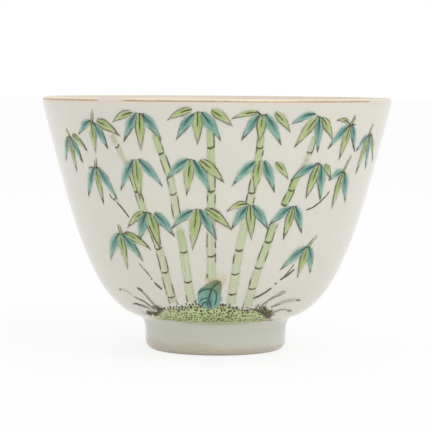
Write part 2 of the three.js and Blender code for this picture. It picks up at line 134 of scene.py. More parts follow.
# Leaves as kind, root, tip, width in millimetres and the edges in strong ink, W for left and E for right
SPRAYS = {
    "crown_spray_1": {
        "joint": (-58.5, 85.5),
        "stem": (-60, 88.5),
        "leaves": (
            ("teal", (-60.5, 84.8), (-66.5, 75), 1.9, ""),
            ("jade", (-59, 84.5), (-59, 70.5), 1.9, "W"),
            ("teal", (-57, 84.5), (-53.3, 74.5), 1.8, "E"),
            ("jade", (-55.5, 86.5), (-49, 79.5), 1.6, "E"),
        ),
    },
    "crown_spray_2": {
        "joint": (-44, 91.8),
        "stem": (-42.7, 96.7),
        "leaves": (
            ("teal", (-45.5, 92.3), (-52.5, 86), 1.6, "E"),
            ("jade", (-44.5, 91), (-45, 79), 2.0, ""),
            ("teal", (-42.7, 91), (-38.7, 80.7), 2.0, "E"),
            ("jade", (-41, 92.3), (-33, 86.3), 2.2, "EW"),
        ),
    },
    "crown_spray_3": {
        "joint": (-25, 95.3),
        "leaves": (
            ("jade", (-28, 95.8), (-35.2, 91.5), 1.7, "EW"),
            ("teal", (-26.5, 95.5), (-31.7, 84), 1.9, "E"),
            ("jade", (-24.3, 95), (-25.7, 80.5), 2.3, "W"),
            ("teal", (-23, 95), (-18, 85), 1.9, "W"),
        ),
        "strokes": (((-23.8, 94.5), (-22.5, 91.5)),),
    },
    "crown_spray_4": {
        "joint": (-6, 96),
        "leaves": (
            ("jade", (-8.3, 97.6), (-15.5, 92.8), 1.7, "EW"),
            ("teal", (-7.8, 95), (-13.2, 85), 1.9, "EW"),
            ("jade", (-5.8, 96.5), (-6.2, 83.3), 2.2, "E"),
            ("teal", (-3.8, 96), (1.4, 84.8), 2.0, ""),
            ("jade", (-1, 97), (5, 90.5), 2.0, "W"),
        ),
    },
    "crown_spray_5": {
        "joint": (14, 95),
        "leaves": (
            ("jade", (12, 96.7), (4.5, 93.4), 1.4, "E"),
            ("teal", (12.7, 95.8), (7.8, 85), 1.8, "E"),
            ("jade", (14.3, 95), (13.8, 84.5), 2.2, "EW"),
            ("teal", (15.8, 95.5), (21.3, 83.3), 2.0, ""),
            ("jade", (19, 96.3), (24, 88.3), 1.8, "W"),
        ),
    },
    "crown_spray_6": {
        "joint": (33.5, 94.5),
        "leaves": (
            ("teal", (31.3, 96), (23.7, 91.2), 1.7, "E"),
            ("jade", (33.2, 94.5), (26.2, 82.3), 2.4, "E"),
            ("teal", (34.3, 94.3), (35.6, 80), 2.0, ""),
            ("jade", (36, 93.5), (41, 85.2), 2.0, "EW"),
        ),
    },
    "crown_spray_7": {
        "joint": (48.5, 91),
        "stem": (50.3, 94.8),
        "leaves": (
            ("jade", (47, 92), (41.5, 92.8), 1.0, "EW"),
            ("teal", (47, 90.5), (39.8, 81.5), 2.0, ""),
            ("jade", (47.7, 90), (46.2, 77), 2.2, "E"),
            ("teal", (50, 91), (54, 80), 1.6, "W"),
        ),
        "strokes": (((49.5, 91.2), (51.5, 91)),),
    },
    "crown_spray_8": {
        "joint": (61.5, 86.5),
        "stem": (63, 91.5),
        "leaves": (
            ("teal", (60, 86), (55, 80), 1.8, ""),
            ("jade", (61.3, 86), (58.7, 71), 2.0, "E"),
            ("teal", (62.8, 86), (66.3, 72), 1.8, ""),
            ("jade", (64, 87), (73, 75), 1.5, ""),
        ),
    },
    "middle_spray_1": {
        "joint": (-46.5, 73.5),
        "stem": (-45.3, 77.5),
        "leaves": (
            ("teal", (-48.3, 73.3), (-54.8, 61), 1.9, ""),
            ("jade", (-46.5, 73), (-46.3, 58.3), 1.8, "W"),
            ("teal", (-44.8, 73.5), (-38.5, 60.5), 1.9, ""),
        ),
        "strokes": (((-50.8, 72.8), (-48, 73.5)),),
    },
    "middle_spray_2": {
        "joint": (-28, 77),
        "leaves": (
            ("teal", (-30, 77), (-36.2, 64.5), 2.0, ""),
            ("jade", (-28, 77), (-28.4, 61), 2.4, "W"),
            ("teal", (-26, 77.3), (-19, 66.5), 1.9, ""),
        ),
    },
    "middle_spray_3": {
        "joint": (-8.5, 77.5),
        "leaves": (
            ("teal", (-10, 78), (-17.5, 69.2), 2.0, "E"),
            ("jade", (-9, 77.3), (-10.5, 63.3), 2.3, ""),
            ("teal", (-7, 77.3), (-1.8, 64), 1.9, ""),
            ("jade", (-4.7, 77.5), (2.7, 68.3), 2.3, "EW"),
        ),
    },
    "middle_spray_4": {
        "joint": (14.5, 77),
        "leaves": (
            ("teal", (12, 77), (5.3, 67), 2.0, ""),
            ("jade", (14.3, 77.3), (13.4, 64.7), 2.1, "W"),
            ("teal", (16.8, 77.3), (20.8, 64.5), 1.9, "W"),
            ("jade", (20.8, 76.5), (25.5, 69.5), 1.7, ""),
        ),
    },
    "middle_spray_5": {
        "joint": (37.3, 75.5),
        "leaves": (
            ("teal", (34.8, 74.8), (26.2, 69), 2.0, "EW"),
            ("jade", (36.8, 75.3), (33.9, 61.3), 2.4, "EW"),
            ("teal", (39, 75), (41, 60.5), 2.2, "W"),
            ("jade", (40.5, 75), (43.8, 69.5), 1.5, "EW"),
        ),
        "strokes": (((35.3, 75.5), (36.7, 76), (37.8, 75.3)),),
    },
    "middle_spray_6": {
        "joint": (50, 72),
        "stem": (52.8, 79),
        "leaves": (
            ("teal", (49, 72.5), (43, 68.6), 1.8, ""),
            ("jade", (49.7, 71.5), (48.2, 57), 2.2, "W"),
            ("teal", (51.3, 71.8), (56.3, 59), 2.2, ""),
        ),
    },
    "low_spray_1": {
        "joint": (-26, 56),
        "leaves": (
            ("jade", (-28.3, 56.3), (-36.3, 49.2), 1.6, "EW"),
            ("teal", (-27.2, 56), (-31.8, 43.7), 2.3, ""),
            ("jade", (-24.5, 55.5), (-22.8, 41.3), 2.4, "E"),
            ("teal", (-22.3, 56), (-16.2, 46.5), 2.0, "W"),
        ),
        "strokes": (((-26.2, 51), (-24.5, 45), (-23, 41.5)),),
    },
    "low_spray_2": {
        "joint": (-7, 58),
        "leaves": (
            ("teal", (-9.5, 57), (-17, 49.7), 1.9, "E"),
            ("jade", (-7, 58), (-9.4, 41), 2.6, "E"),
            ("teal", (-5, 57.5), (0.2, 45.2), 2.0, "EW"),
            ("jade", (-3, 58.3), (5.7, 49.5), 2.1, "EW"),
        ),
        "strokes": (((-2.8, 58.2), (-1, 57.8), (1.7, 56.2)),),
    },
    "low_spray_3": {
        "joint": (12, 59.5),
        "leaves": (
            ("jade", (10.3, 60.8), (3.8, 57), 1.6, "W"),
            ("teal", (11, 59.3), (5.6, 49.5), 1.9, ""),
            ("jade", (12.3, 59.5), (13.8, 45.3), 2.1, "EW"),
            ("teal", (14, 59.3), (20.2, 49.3), 1.8, "W"),
        ),
    },
    "low_spray_4": {
        "joint": (29, 58.8),
        "leaves": (
            ("teal", (27.5, 58.3), (20.2, 51.2), 1.9, "E"),
            ("jade", (29.3, 58.5), (27.2, 45.2), 2.0, "EW"),
            ("teal", (31, 58.8), (35.2, 47.3), 1.8, "W"),
        ),
    },
    "side_spray_left": {
        "joint": (-40.5, 46.8),
        "stem": (-40.5, 50.5),
        "leaves": (
            ("teal", (-42.5, 46.5), (-51.7, 34.5), 2.2, ""),
            ("jade", (-41, 46), (-42, 31), 2.1, "E"),
            ("teal", (-39, 46.3), (-32, 35.3), 2.2, "E"),
            ("jade", (-37, 47), (-27, 40.5), 1.8, "E"),
        ),
        "strokes": (((-39.5, 46.5), (-38, 47.2), (-36, 47.8)),),
    },
    "side_spray_right": {
        "joint": (40, 41.8),
        "stem": (44, 46.3),
        "leaves": (
            ("teal", (38.8, 41.5), (28.8, 32.2), 2.3, ""),
            ("jade", (40, 41.5), (39.3, 28.3), 2.3, "W"),
            ("teal", (40.8, 41.8), (46.6, 29.7), 1.9, "E"),
        ),
    },
}

# Twigs as strokes, each with its width in millimetres
TWIGS = {
    "twig_left_low": (
        (0.6, (-26, 23), (-29.3, 26.3)),
        (0.5, (-29.8, 27.4), (-30.3, 28.1)),
        (0.35, (-30.3, 28.5), (-32, 31), (-34.8, 34.5)),
    ),
    "twig_left_high": (
        (0.5, (-34.5, 53.5), (-37, 57), (-39.5, 60)),
        (0.35, (-39.5, 60), (-41.5, 61.5), (-42, 63)),
        (0.35, (-40, 60.5), (-39, 62)),
    ),
    "twig_right_low": (
        (0.65, (18.3, 18.8), (20, 19.7), (24, 21.8), (27, 24.3)),
        (0.55, (27.9, 25.7), (28.6, 26.4)),
        (0.6, (30, 27.5), (33, 29.5), (36.5, 32.3)),
        (0.35, (31.5, 28.8), (33.5, 31.5), (35.5, 34.7)),
    ),
    "twig_right_high": (
        (0.5, (35, 57), (38, 58), (41, 60), (43.5, 62.5)),
        (0.35, (43, 61.5), (45, 64.5)),
    ),
}

# Mound between its crest and its foot, with ink along the crest
CREST = (
    (-48, 1.8), (-42, 5), (-36, 9.7), (-30, 12.8), (-22, 15), (-16, 16), (-10, 17.5), (-4, 18),
    (3, 17.5), (9, 15.8), (15, 14.5), (20, 13.5), (26, 11.3), (30, 9), (36, 5), (43, 1.8),
)
CREST_INK = (
    ((-30, 12.8), (-35, 10.3), (-41, 6.2)),
    ((-29, 13.4), (-24, 14.8)),
    ((14, 15), (20, 13.5), (26, 11.3)),
)
MOUND_FOOT = (
    (-49, 1.6), (-44, 2.6), (-38, 1.7), (-30, 0.4), (-12, -1.6),
    (0, -1.9), (12, -1.6), (29, 0), (38, 1.2), (44, 1.6),
)

# Gold between two shares of the lip's round, and its worn places as degrees and half a width
GILT_SPAN = (0.21, 0.67)
GILT_WEAR = ((-35.2, 4.9), (75, 18), (-158, 6), (121, 3))

# Broad leaf as a line up its middle, its width along that in shares of the widest, and its ink
BROAD_LEAF = ((-4, 13.6), (-3.2, 18), (-2.2, 22.5), (1.8, 28))
BROAD_WIDTHS = ((0, 0.16), (1, 0.84), (2, 1), (3, 0.97), (4, 0.68), (5, 0.2))
BROAD_VEINS = (
    ((1.5, 27.5), (-1.5, 24.5), (-3.3, 20), (-4.5, 15.5)),
    ((-1.6, 24.3), (0.3, 22.2), (0.2, 18.5), (-0.6, 15.8)),
    ((-1.8, 24.3), (-5, 24), (-8, 22.3)),
    ((-3.3, 20), (-6, 19.5), (-8, 18)),
    ((-3.5, 18.8), (-2.4, 16.5), (-2.5, 14.6)),
    ((-4.2, 18), (-6.3, 17), (-7, 15)),
)
BROAD_EDGES = (
    ((-3, 25.4), (-7, 23.9), (-8.6, 20.8)),
    ((-8.5, 19.8), (-7.7, 16.6)),
    ((2.2, 27.6), (0, 27.4), (-3, 25.6)),
)
STAIN = ((-5, 28.5), (5, 28))

# Grass tufts as the edge that scrub grows from, its lean and count, and blades as tint, width and places
GRASS = {
    "grass_left": {
        "edge": ((-43, 6.8), (-39, 8), (-35, 10.4), (-30, 13)),
        "lean": (-4.2, 1.6),
        "growth": 40,
        "blades": (
            ("slate", 0.6, (-33.4, 13.2), (-34.9, 16), (-36.6, 19.4), (-39, 22.3)),
            ("scrub", 0.6, (-37.6, 21.4), (-39.2, 22.5), (-40.6, 23)),
            ("brown", 0.4, (-35.5, 12.3), (-38, 14.2), (-40.2, 16.2), (-43.5, 17.4), (-46, 18.4)),
            ("slate", 0.65, (-39, 12), (-43, 13.3), (-46.5, 14)),
            ("scrub", 0.5, (-44.5, 13.8), (-47.5, 14.3), (-50.7, 13.8)),
            ("pale", 0.6, (-46, 19), (-49.5, 20.8), (-54, 21.2)),
            ("scrub", 0.34, (-53.2, 21.4), (-55.6, 20.7)),
            ("scrub", 0.8, (-32.2, 13), (-33.3, 13.5), (-34.5, 13.9)),
            ("scrub", 0.6, (-41.5, 6.6), (-37, 8.6), (-33, 11.2), (-29.8, 13)),
        ),
    },
    "grass_right": {
        "edge": ((22.5, 12.4), (27, 10.6), (31, 8.2), (35.5, 6.4)),
        "lean": (0.6, 3.1),
        "growth": 64,
        "blades": (
            ("scrub", 0.6, (20, 13.2), (24, 12.2), (27, 10.8), (31, 8.6), (35.4, 6.4)),
            ("pale", 0.9, (27.5, 18.4), (30.5, 20), (33.5, 21.1)),
            ("slate", 0.36, (24.8, 15.4), (27, 17.6), (29.6, 19.2), (32.6, 20.2), (35.6, 21.6)),
            ("slate", 0.3, (32.2, 21.2), (33.4, 22), (35.6, 21.7)),
            ("pale", 1.1, (30.4, 14), (34, 15.3), (38, 16.8), (42.5, 17.2), (47.5, 16.8)),
            ("scrub", 0.4, (46, 17), (48, 16.8), (49.6, 16.4)),
            ("brown", 0.24, (30.5, 14.2), (33, 14.8), (35.6, 15.6)),
            ("slate", 0.42, (33.6, 10.2), (36.5, 11.4), (40, 11.9), (44, 11.7)),
            ("slate", 0.5, (44.6, 11), (47, 10.6), (49.4, 10)),
            ("red", 0.8, (30, 9), (38, 4.5), (44, 1.5)),
        ),
    },
}


def linear(red, green, blue):
    """Scene-linear colour of a screen colour given in steps of 255."""
    shares = (red / 255, green / 255, blue / 255)
    return tuple(part / 12.92 if part <= 0.04045 else ((part + 0.055) / 1.055) ** 2.4 for part in shares)


def length(name, description, default):
    return FloatProperty(name=name, description=description, default=default, unit="LENGTH", precision=5)


def colour(name, description, screen):
    return FloatVectorProperty(
        name=name, description=description, default=linear(*screen), subtype="COLOR", min=0, max=1
    )


class TeacupSizes(bpy.types.PropertyGroup):
    """Sizes of the turned body, taken over its glaze."""

    lip_radius: length("Lip radius", "Outside of the wall where the lip's round begins", 39.68 * MM)
    lip_spring: length("Lip spring", "Height where the lip's round begins", 56.05 * MM)
    lip_lean: length("Lip lean", "Outward lean of the upper wall", 6.35 * MM)
    lip_run: length("Lip run", "Height over which the upper wall leans", 24.3 * MM)
    lip_ease: length("Lip ease", "Thickness that rounds off outside the crown", 1 * MM)
    lip_rise: length("Lip rise", "Height of the crown over the start of its round", 1.2 * MM)
    belly_reach: length("Belly reach", "Outward run of the belly at the foot", 10.6 * MM)
    belly_rise: length("Belly rise", "Rise of the belly over its outward run", 3.5 * MM)
    wall_at_lip: length("Wall at lip", "Thickness of the wall at the lip", 1.45 * MM)
    wall_at_foot: length("Wall at foot", "Thickness of the wall at the foot", 3.2 * MM)
    floor_level: length("Floor level", "Height of the floor inside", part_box("inner_glaze")[0].z + 0.25 * MM)
    floor_ease: length("Floor ease", "Run of the curve from the floor into the wall", 5 * MM)
    glaze: length("Glaze", "Thickness of the glaze coats", 0.25 * MM)
    foot_radius: length("Foot radius", "Outside of the foot below its hollow", 16.12 * MM)
    foot_height: length("Foot height", "Height of the foot's joint with the bowl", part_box("foot_ring")[1].z)
    foot_taper: length("Foot taper", "How much the foot draws in towards its toe", 0.1 * MM)
    recess_radius: length("Recess radius", "Inside of the foot ring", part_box("base_glaze")[1].x)
    toe_round: length("Toe round", "Round at the foot's outer edge", 1.8 * MM)
    toe_bare: FloatProperty(
        name="Bare toe", description="Share of the toe's round with no glaze", default=0.4, subtype="FACTOR"
    )
    heel_bevel: length("Heel bevel", "Bare bevel at the foot's inner edge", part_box("base_glaze")[0].z)
    cove_reach: length("Cove reach", "Hollow between foot and belly, across", 2.18 * MM)
    cove_drop: length("Cove drop", "How far below the joint the hollow begins", 2.1 * MM)
    cove_rise: length("Cove rise", "How far above the joint the hollow ends", 1.45 * MM)
    gilt_film: length("Gilt film", "Thickness of the gold", 0.03 * MM)
    culm_low: length("Culm width, low", "Width of a culm at the mound", 2.0 * MM)
    culm_high: length("Culm width, high", "Width of a culm at its top", 1.5 * MM)
    ink_width: length("Ink width", "Width of an ink line at full pressure", 0.3 * MM)
    broad_leaf_width: length("Broad leaf width", "Width of the broad leaf at its widest", 5.8 * MM)


class TeacupColours(bpy.types.PropertyGroup):
    """Colours of the body, the gold and the enamels."""

    porcelain: colour("Porcelain", "Glazed wall", (220, 217, 206))
    # Lining is a lighter copy of the porcelain glaze: painted light that keeps the inside of the cup out of
    # its shade
    lining: colour("Lining", "Glaze inside the cup", (236, 233, 223))
    pooled: colour("Pooled glaze", "Glaze where it lies thick", (208, 209, 199))
    biscuit: colour("Biscuit", "Bare porcelain of the foot", (214, 203, 184))
    flash: colour("Kiln flash", "Brown edge where bare body meets glaze", (188, 146, 98))
    # Gold is paler on the lip's crown than lower down: partly a painted highlight on the crown, partly the
    # gold's own browning
    gold: colour("Gold", "Gold of the lip", (236, 225, 200))
    browned_gold_below_highlight: colour("Gold edge", "Browned line where the gold ends", (208, 188, 152))
    gold_line: colour("Gold line", "Brown line at the gold's lower end", (170, 148, 116))
    blush: colour("Blush", "Pink tinge of the glaze beside the gold", (224, 208, 195))
    rubbed: colour("Rubbed gold", "Where the gold is worn to a stain", (219, 211, 196))
    jade: colour("Jade", "Yellow-green leaves", (203, 211, 158))
    jade_core: colour("Jade core", "Dark heart of the green leaves", (150, 184, 90))
    jade_tip: colour("Jade tip", "Faded ends of the green leaves", (186, 180, 158))
    teal: colour("Teal", "Blue-green leaves", (154, 198, 183))
    teal_core: colour("Teal core", "Dark heart of the teal leaves", (40, 110, 99))
    teal_tip: colour("Teal tip", "Faded ends of the teal leaves", (156, 172, 160))
    culm: colour("Culm", "Pale stalks", (213, 218, 187))
    culm_shade: colour("Culm shade", "Deeper green on the stalks", (178, 193, 136))
    culm_high: colour("Culm top", "Greener upper stalks", (176, 196, 134))
    mound: colour("Mound", "Bank of earth", (197, 207, 150))
    mound_shade: colour("Mound shade", "Darker top of the bank", (164, 182, 108))
    ink: colour("Ink", "Brown-black outlines", (54, 44, 29))
    thin_ink: colour("Thin ink", "Where an outline runs dry", (122, 102, 74))
    faint: colour("Faint ink", "Grey outlines", (86, 90, 80))
    brown: colour("Brown", "Dry grass", (80, 80, 52))
    scrub: colour("Scrub", "Scrub and the tips of the grass", (64, 60, 10))
    thin_scrub: colour("Thin scrub", "Scrub where the brush ran dry", (114, 108, 46))
    slate: colour("Slate", "Blue-grey grass", (90, 108, 112))
    pale_grass: colour("Pale grass", "Faded grass", (190, 188, 164))
    iron: colour("Iron red", "Red-brown strokes", (176, 122, 100))
    broad_leaf: colour("Broad leaf", "Round leaf on the mound", (132, 181, 167))
    broad_tip: colour("Broad leaf tip", "Green end of the round leaf", (124, 112, 18))
    vein: colour("Vein", "Dark veins of the round leaf", (26, 62, 60))
    stain: colour("Stain", "Yellow wash at the foot of the middle stalk", (230, 208, 140))
    stain_edge: colour("Stain edge", "Darker rim of the yellow wash", (214, 186, 120))


class TeacupStage(bpy.types.PropertyGroup):
    """Camera and light."""

    distance: length("Camera distance", "From the cup's axis to the camera", 483.3 * MM)
    height: length("Camera height", "Camera above the table", 62.1 * MM)
    pitch: FloatProperty(
        name="Pitch", description="Downward tilt of the camera", default=0.06574, subtype="ANGLE"
    )
    roll: FloatProperty(name="Roll", description="Turn about the view axis", default=0.0066, subtype="ANGLE")
    shift: FloatProperty(
        name="Shift", description="Sideways shift of the lens, as a share of the view", default=-0.0006
    )
    lens: FloatProperty(name="Lens", description="Focal length in millimetres", default=176.2)
    sky: FloatProperty(name="Sky", description="Strength of the even light all round", default=0.87)
    key: FloatProperty(
        name="Key", description="Power of the large lamp above the front, in watts", default=2.55
    )


class Wall:
    """Outer glazed wall, with places on it by degrees round from the front and percent of the way up."""

    STEPS = 600

    def __init__(self, sizes):
        haunch = Vector((sizes.foot_radius + sizes.cove_reach, sizes.foot_height + sizes.cove_rise))
        spring = Vector((sizes.lip_radius, sizes.lip_spring))
        belly = Vector((sizes.belly_reach, sizes.belly_rise))
        flare = Vector((sizes.lip_lean, sizes.lip_run))
        self.poles = (haunch, haunch + belly, spring - flare, spring)
        self.runs = [0.0]
        for step in range(self.STEPS):
            chord = self.point((step + 1) / self.STEPS) - self.point(step / self.STEPS)
            self.runs.append(self.runs[-1] + chord.length)
        foot = Vector((sizes.foot_radius, sizes.foot_height - sizes.cove_drop))
        corner = Vector((foot.x, haunch.y - sizes.cove_reach * sizes.belly_rise / sizes.belly_reach))
        self.hollow = (haunch, corner, foot)
        self.hollow_run = ((corner - haunch).length + (foot - corner).length + (foot - haunch).length) / 2

    def point(self, share):
        """Radius and height at a share of the curve's own parameter."""
        back = 1 - share
        weights = (back ** 3, 3 * back * back * share, 3 * back * share * share, share ** 3)
        return sum((pole * weight for pole, weight in zip(self.poles, weights)), Vector((0, 0)))

    def heading(self, share):
        """Direction up the wall at a share of the curve's own parameter."""
        back = 1 - share
        first, second, third, fourth = self.poles
        low = (second - first) * back * back
        middle = (third - second) * 2 * back * share
        high = (fourth - third) * share ** 2
        return (low + middle + high).normalized()

    def share_at(self, percent):
        """Curve parameter at a percentage up the wall."""
        goal = self.runs[-1] * min(max((percent - FOOT_PERCENT) / (LIP_PERCENT - FOOT_PERCENT), 0), 1)
        low, high = 0, self.STEPS
        while high - low > 1:
            middle = (low + high) // 2
            if self.runs[middle] <= goal:
                low = middle
            else:
                high = middle
        step = self.runs[high] - self.runs[low]
        return (low + (goal - self.runs[low]) / step) / self.STEPS

    def place(self, degrees, percent, lift):
        """Point in space at a place on the wall or in the hollow, lifted off the glaze."""
        at, along = self.level(percent)
        radius = at.x + along.y * lift
        turn = math.radians(degrees)
        return Vector((radius * math.sin(turn), -radius * math.cos(turn), at.y - along.x * lift))

    def level(self, percent):
        """Radius and height at a percentage up the wall or in the hollow, and the way up from there."""
        under = (FOOT_PERCENT - percent) * self.per_percent()
        if under <= 0:
            share = self.share_at(percent)
            return self.point(share), self.heading(share)
        haunch, corner, foot = self.hollow
        share = min(under / self.hollow_run, 1)
        at = haunch * (1 - share) ** 2 + corner * 2 * share * (1 - share) + foot * share ** 2
        return at, ((haunch - corner) * (1 - share) + (corner - foot) * share).normalized()

    def per_degree(self, percent):
        return math.radians(self.point(self.share_at(percent)).x)

    def per_percent(self):
        return self.runs[-1] / (LIP_PERCENT - FOOT_PERCENT)

    def apart(self, one, other):
        """Distance over the wall between two places."""
        across = (other[0] - one[0]) * self.per_degree((one[1] + other[1]) / 2)
        return math.hypot(across, (other[1] - one[1]) * self.per_percent())

    def beside(self, spine, share, offset):
        """Place a distance to the left of a spine of degrees and percent."""
        step = 0.01
        here = spine(share)
        ahead = spine(min(share + step, 1))
        behind = spine(max(share - step, 0))
        across = self.per_degree(here[1])
        up = self.per_percent()
        way = Vector(((ahead[0] - behind[0]) * across, (ahead[1] - behind[1]) * up)).normalized()
        return here[0] - way.y * offset / across, here[1] + way.x * offset / up

    def shifted(self, spine, offset):
        """Line beside a spine, at a distance to its left that is a function of the share along."""
        return lambda share: self.beside(spine, share, offset(share))


class Section:
    """Turned section of the cup, as points of radius and height at a depth below the glaze."""

    def __init__(self, sizes):
        self.sizes = sizes
        self.wall = Wall(sizes)

    def offset(self, share, depth):
        along = self.wall.heading(share)
        at = self.wall.point(share)
        return Vector((at.x - along.y * depth, at.y + along.x * depth))

    def thickness(self, share):
        return self.sizes.wall_at_foot + (self.sizes.wall_at_lip - self.sizes.wall_at_foot) * share

    def lip(self, share, depth):
        """Round of the lip, from the outside at 0 over the crown to the inside at 1."""
        sizes = self.sizes
        along = self.wall.heading(1)
        reach = sizes.lip_ease if share < 0.5 else sizes.wall_at_lip - sizes.lip_ease
        out = (reach - depth) * math.cos(math.pi * share)
        up = (sizes.lip_rise - depth) * math.sin(math.pi * share)
        round_off = Vector((along.y * out + along.x * up, along.y * up - along.x * out))
        return self.offset(1, sizes.lip_ease) + round_off

    def cove_poles(self, depth):
        """Start, corner and end of the hollow that carries the foot's side into the belly."""
        end = self.offset(0, depth)
        start = Vector((self.sizes.foot_radius - depth, self.sizes.foot_height - self.sizes.cove_drop))
        slope = self.sizes.belly_rise / self.sizes.belly_reach
        return start, Vector((start.x, end.y - (end.x - start.x) * slope)), end

    def joint_share(self, depth):
        """Share of the hollow that lies on the foot ring, below its joint with the bowl."""
        start, corner, end = self.cove_poles(depth)
        drop = self.sizes.cove_drop
        rise = corner.y - start.y
        bend = end.y - corner.y - rise
        return drop / (rise + math.sqrt(rise * rise + bend * drop))

    def cove(self, first, last, depth):
        """Points of the hollow between two shares of it."""
        start, corner, end = self.cove_poles(depth)
        points = []
        for step in shares(COVE_STEPS):
            share = first + (last - first) * step
            points.append(start * (1 - share) ** 2 + corner * 2 * share * (1 - share) + end * share ** 2)
        return points

    def floor(self, share, depth):
        level = self.sizes.floor_level - depth
        start = self.offset(0, self.thickness(0) - depth)
        corner = Vector((start.x - self.sizes.floor_ease, level))
        end = Vector((0, level))
        return start * (1 - share) ** 2 + corner * 2 * share * (1 - share) + end * share ** 2

    def outside(self, depth):
        """From the foot's joint up to the crown of the lip."""
        return (
            self.cove(self.joint_share(depth), 1, depth)
            + [self.offset(share, depth) for share in shares(WALL_STEPS)[1:]]
            + [self.lip(share / 2, depth) for share in shares(LIP_STEPS)[1:]]
        )

    def inside(self, depth):
        """From the crown of the lip down to the middle of the floor."""
        return (
            [self.lip(0.5 + share / 2, depth) for share in shares(LIP_STEPS)]
            + [self.offset(1 - share, self.thickness(1 - share) - depth) for share in shares(WALL_STEPS)[1:]]
            + [self.floor(share, depth) for share in shares(FLOOR_STEPS)[1:]]
        )

    def toe(self, share, depth):
        """Round of the toe, from the table at 0 to the foot's side at 1."""
        sizes = self.sizes
        angle = share * math.pi / 2
        reach = sizes.toe_round - depth
        inset = sizes.foot_radius - sizes.foot_taper - sizes.toe_round
        return Vector((inset + reach * math.sin(angle), sizes.toe_round - reach * math.cos(angle)))

    def glazed_toe(self, depth):
        bare = self.sizes.toe_bare
        return [self.toe(bare + (1 - bare) * share, depth) for share in shares(TOE_STEPS)]

    def foot_side(self, depth):
        """From the glazed toe up to the foot's joint."""
        return self.glazed_toe(depth) + self.cove(0, self.joint_share(depth), depth)


def shares(steps):
    return [step / steps for step in range(steps + 1)]


def turn(name, profile, closed=False):
    """Spins a section of radius and height about the cup's axis into a piece."""
    mesh = bmesh.new()
    ring = [mesh.verts.new((point.x, 0, point.y)) for point in profile]
    pairs = list(zip(ring, ring[1:]))
    if closed:
        pairs.append((ring[-1], ring[0]))
    edges = [mesh.edges.new(pair) for pair in pairs]
    bmesh.ops.spin(
        mesh, geom=ring + edges, cent=(0, 0, 0), axis=(0, 0, 1), angle=math.tau, steps=AROUND, use_merge=True
    )
    bmesh.ops.remove_doubles(mesh, verts=mesh.verts, dist=MERGE_DISTANCE)
    bmesh.ops.recalc_face_normals(mesh, faces=mesh.faces)
    return piece_from(mesh, name)


def piece_from(mesh, name):
    """Turns a bmesh into a smooth-shaded object at the origin."""
    data = bpy.data.meshes.new(name)
    mesh.to_mesh(data)
    mesh.free()
    data.shade_smooth()
    data.set_sharp_from_angle(angle=SHARP_ANGLE)
    piece = bpy.data.objects.new(name, data)
    bpy.context.scene.collection.objects.link(piece)
    return piece


def settle(piece, node, slot, *materials):
    """Gives a piece its materials and sets it on the frame in place of a CAD node."""
    for material in materials:
        piece.data.materials.append(material)
    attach(piece, BODY)
    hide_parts(node)


def spline(places):
    """Smooth line through places of degrees and percent, as a function of a share from 0 to 1."""
    points = [Vector(place) for place in places]

    def at(share):
        position = min(max(share, 0), 1) * (len(points) - 1)
        index = min(int(position), len(points) - 2)
        part = position - index
        before = points[max(index - 1, 0)]
        start = points[index]
        end = points[index + 1]
        after = points[min(index + 2, len(points) - 1)]
        bend = (before * -1 + start * 3 - end * 3 + after) * part ** 3
        sway = (before * 2 - start * 5 + end * 4 - after) * part ** 2
        return (start * 2 + (end - before) * part + sway + bend) / 2

    return at


def arched(root, tip, bow):
    """Line from a leaf's root to its tip that bows upwards by some percent."""
    start = Vector(root)
    end = Vector(tip)
    crest = (start + end) / 2 + Vector((0, 2 * bow))
    return lambda share: start * (1 - share) ** 2 + crest * 2 * share * (1 - share) + end * share ** 2


def stretch(spine, start, end):
    """Part of a line between two shares of it."""
    return lambda share: spine(start + (end - start) * share)


def blade(share):
    """Outline of a leaf: narrow at its root, widest before the middle, drawn out to its tip."""
    root, swell, taper, fullness = 0.4, 0.4, 1.1, 0.55
    if share < swell:
        return root + (1 - root) * math.sin(math.pi / 2 * max(share, 0) / swell)
    rest = min((share - swell) / (1 - swell), 1)
    return (1 - rest) ** taper * (1 + fullness * rest)


def pressed(share):
    """Outline of a pen stroke: quick start, long lift."""
    least, early, flat = 0.35, 0.8, 0.6
    return least + (1 - least) * math.sin(math.pi * share ** early) ** flat


def share_where(line, axis, value):
    """Share along a line at which its degrees (axis 0) or its percent (axis 1) rises to a value."""
    low, high = 0.0, 1.0
    for _ in range(HALVINGS):
        middle = (low + high) / 2
        if line(middle)[axis] < value:
            low = middle
        else:
            high = middle
    return low


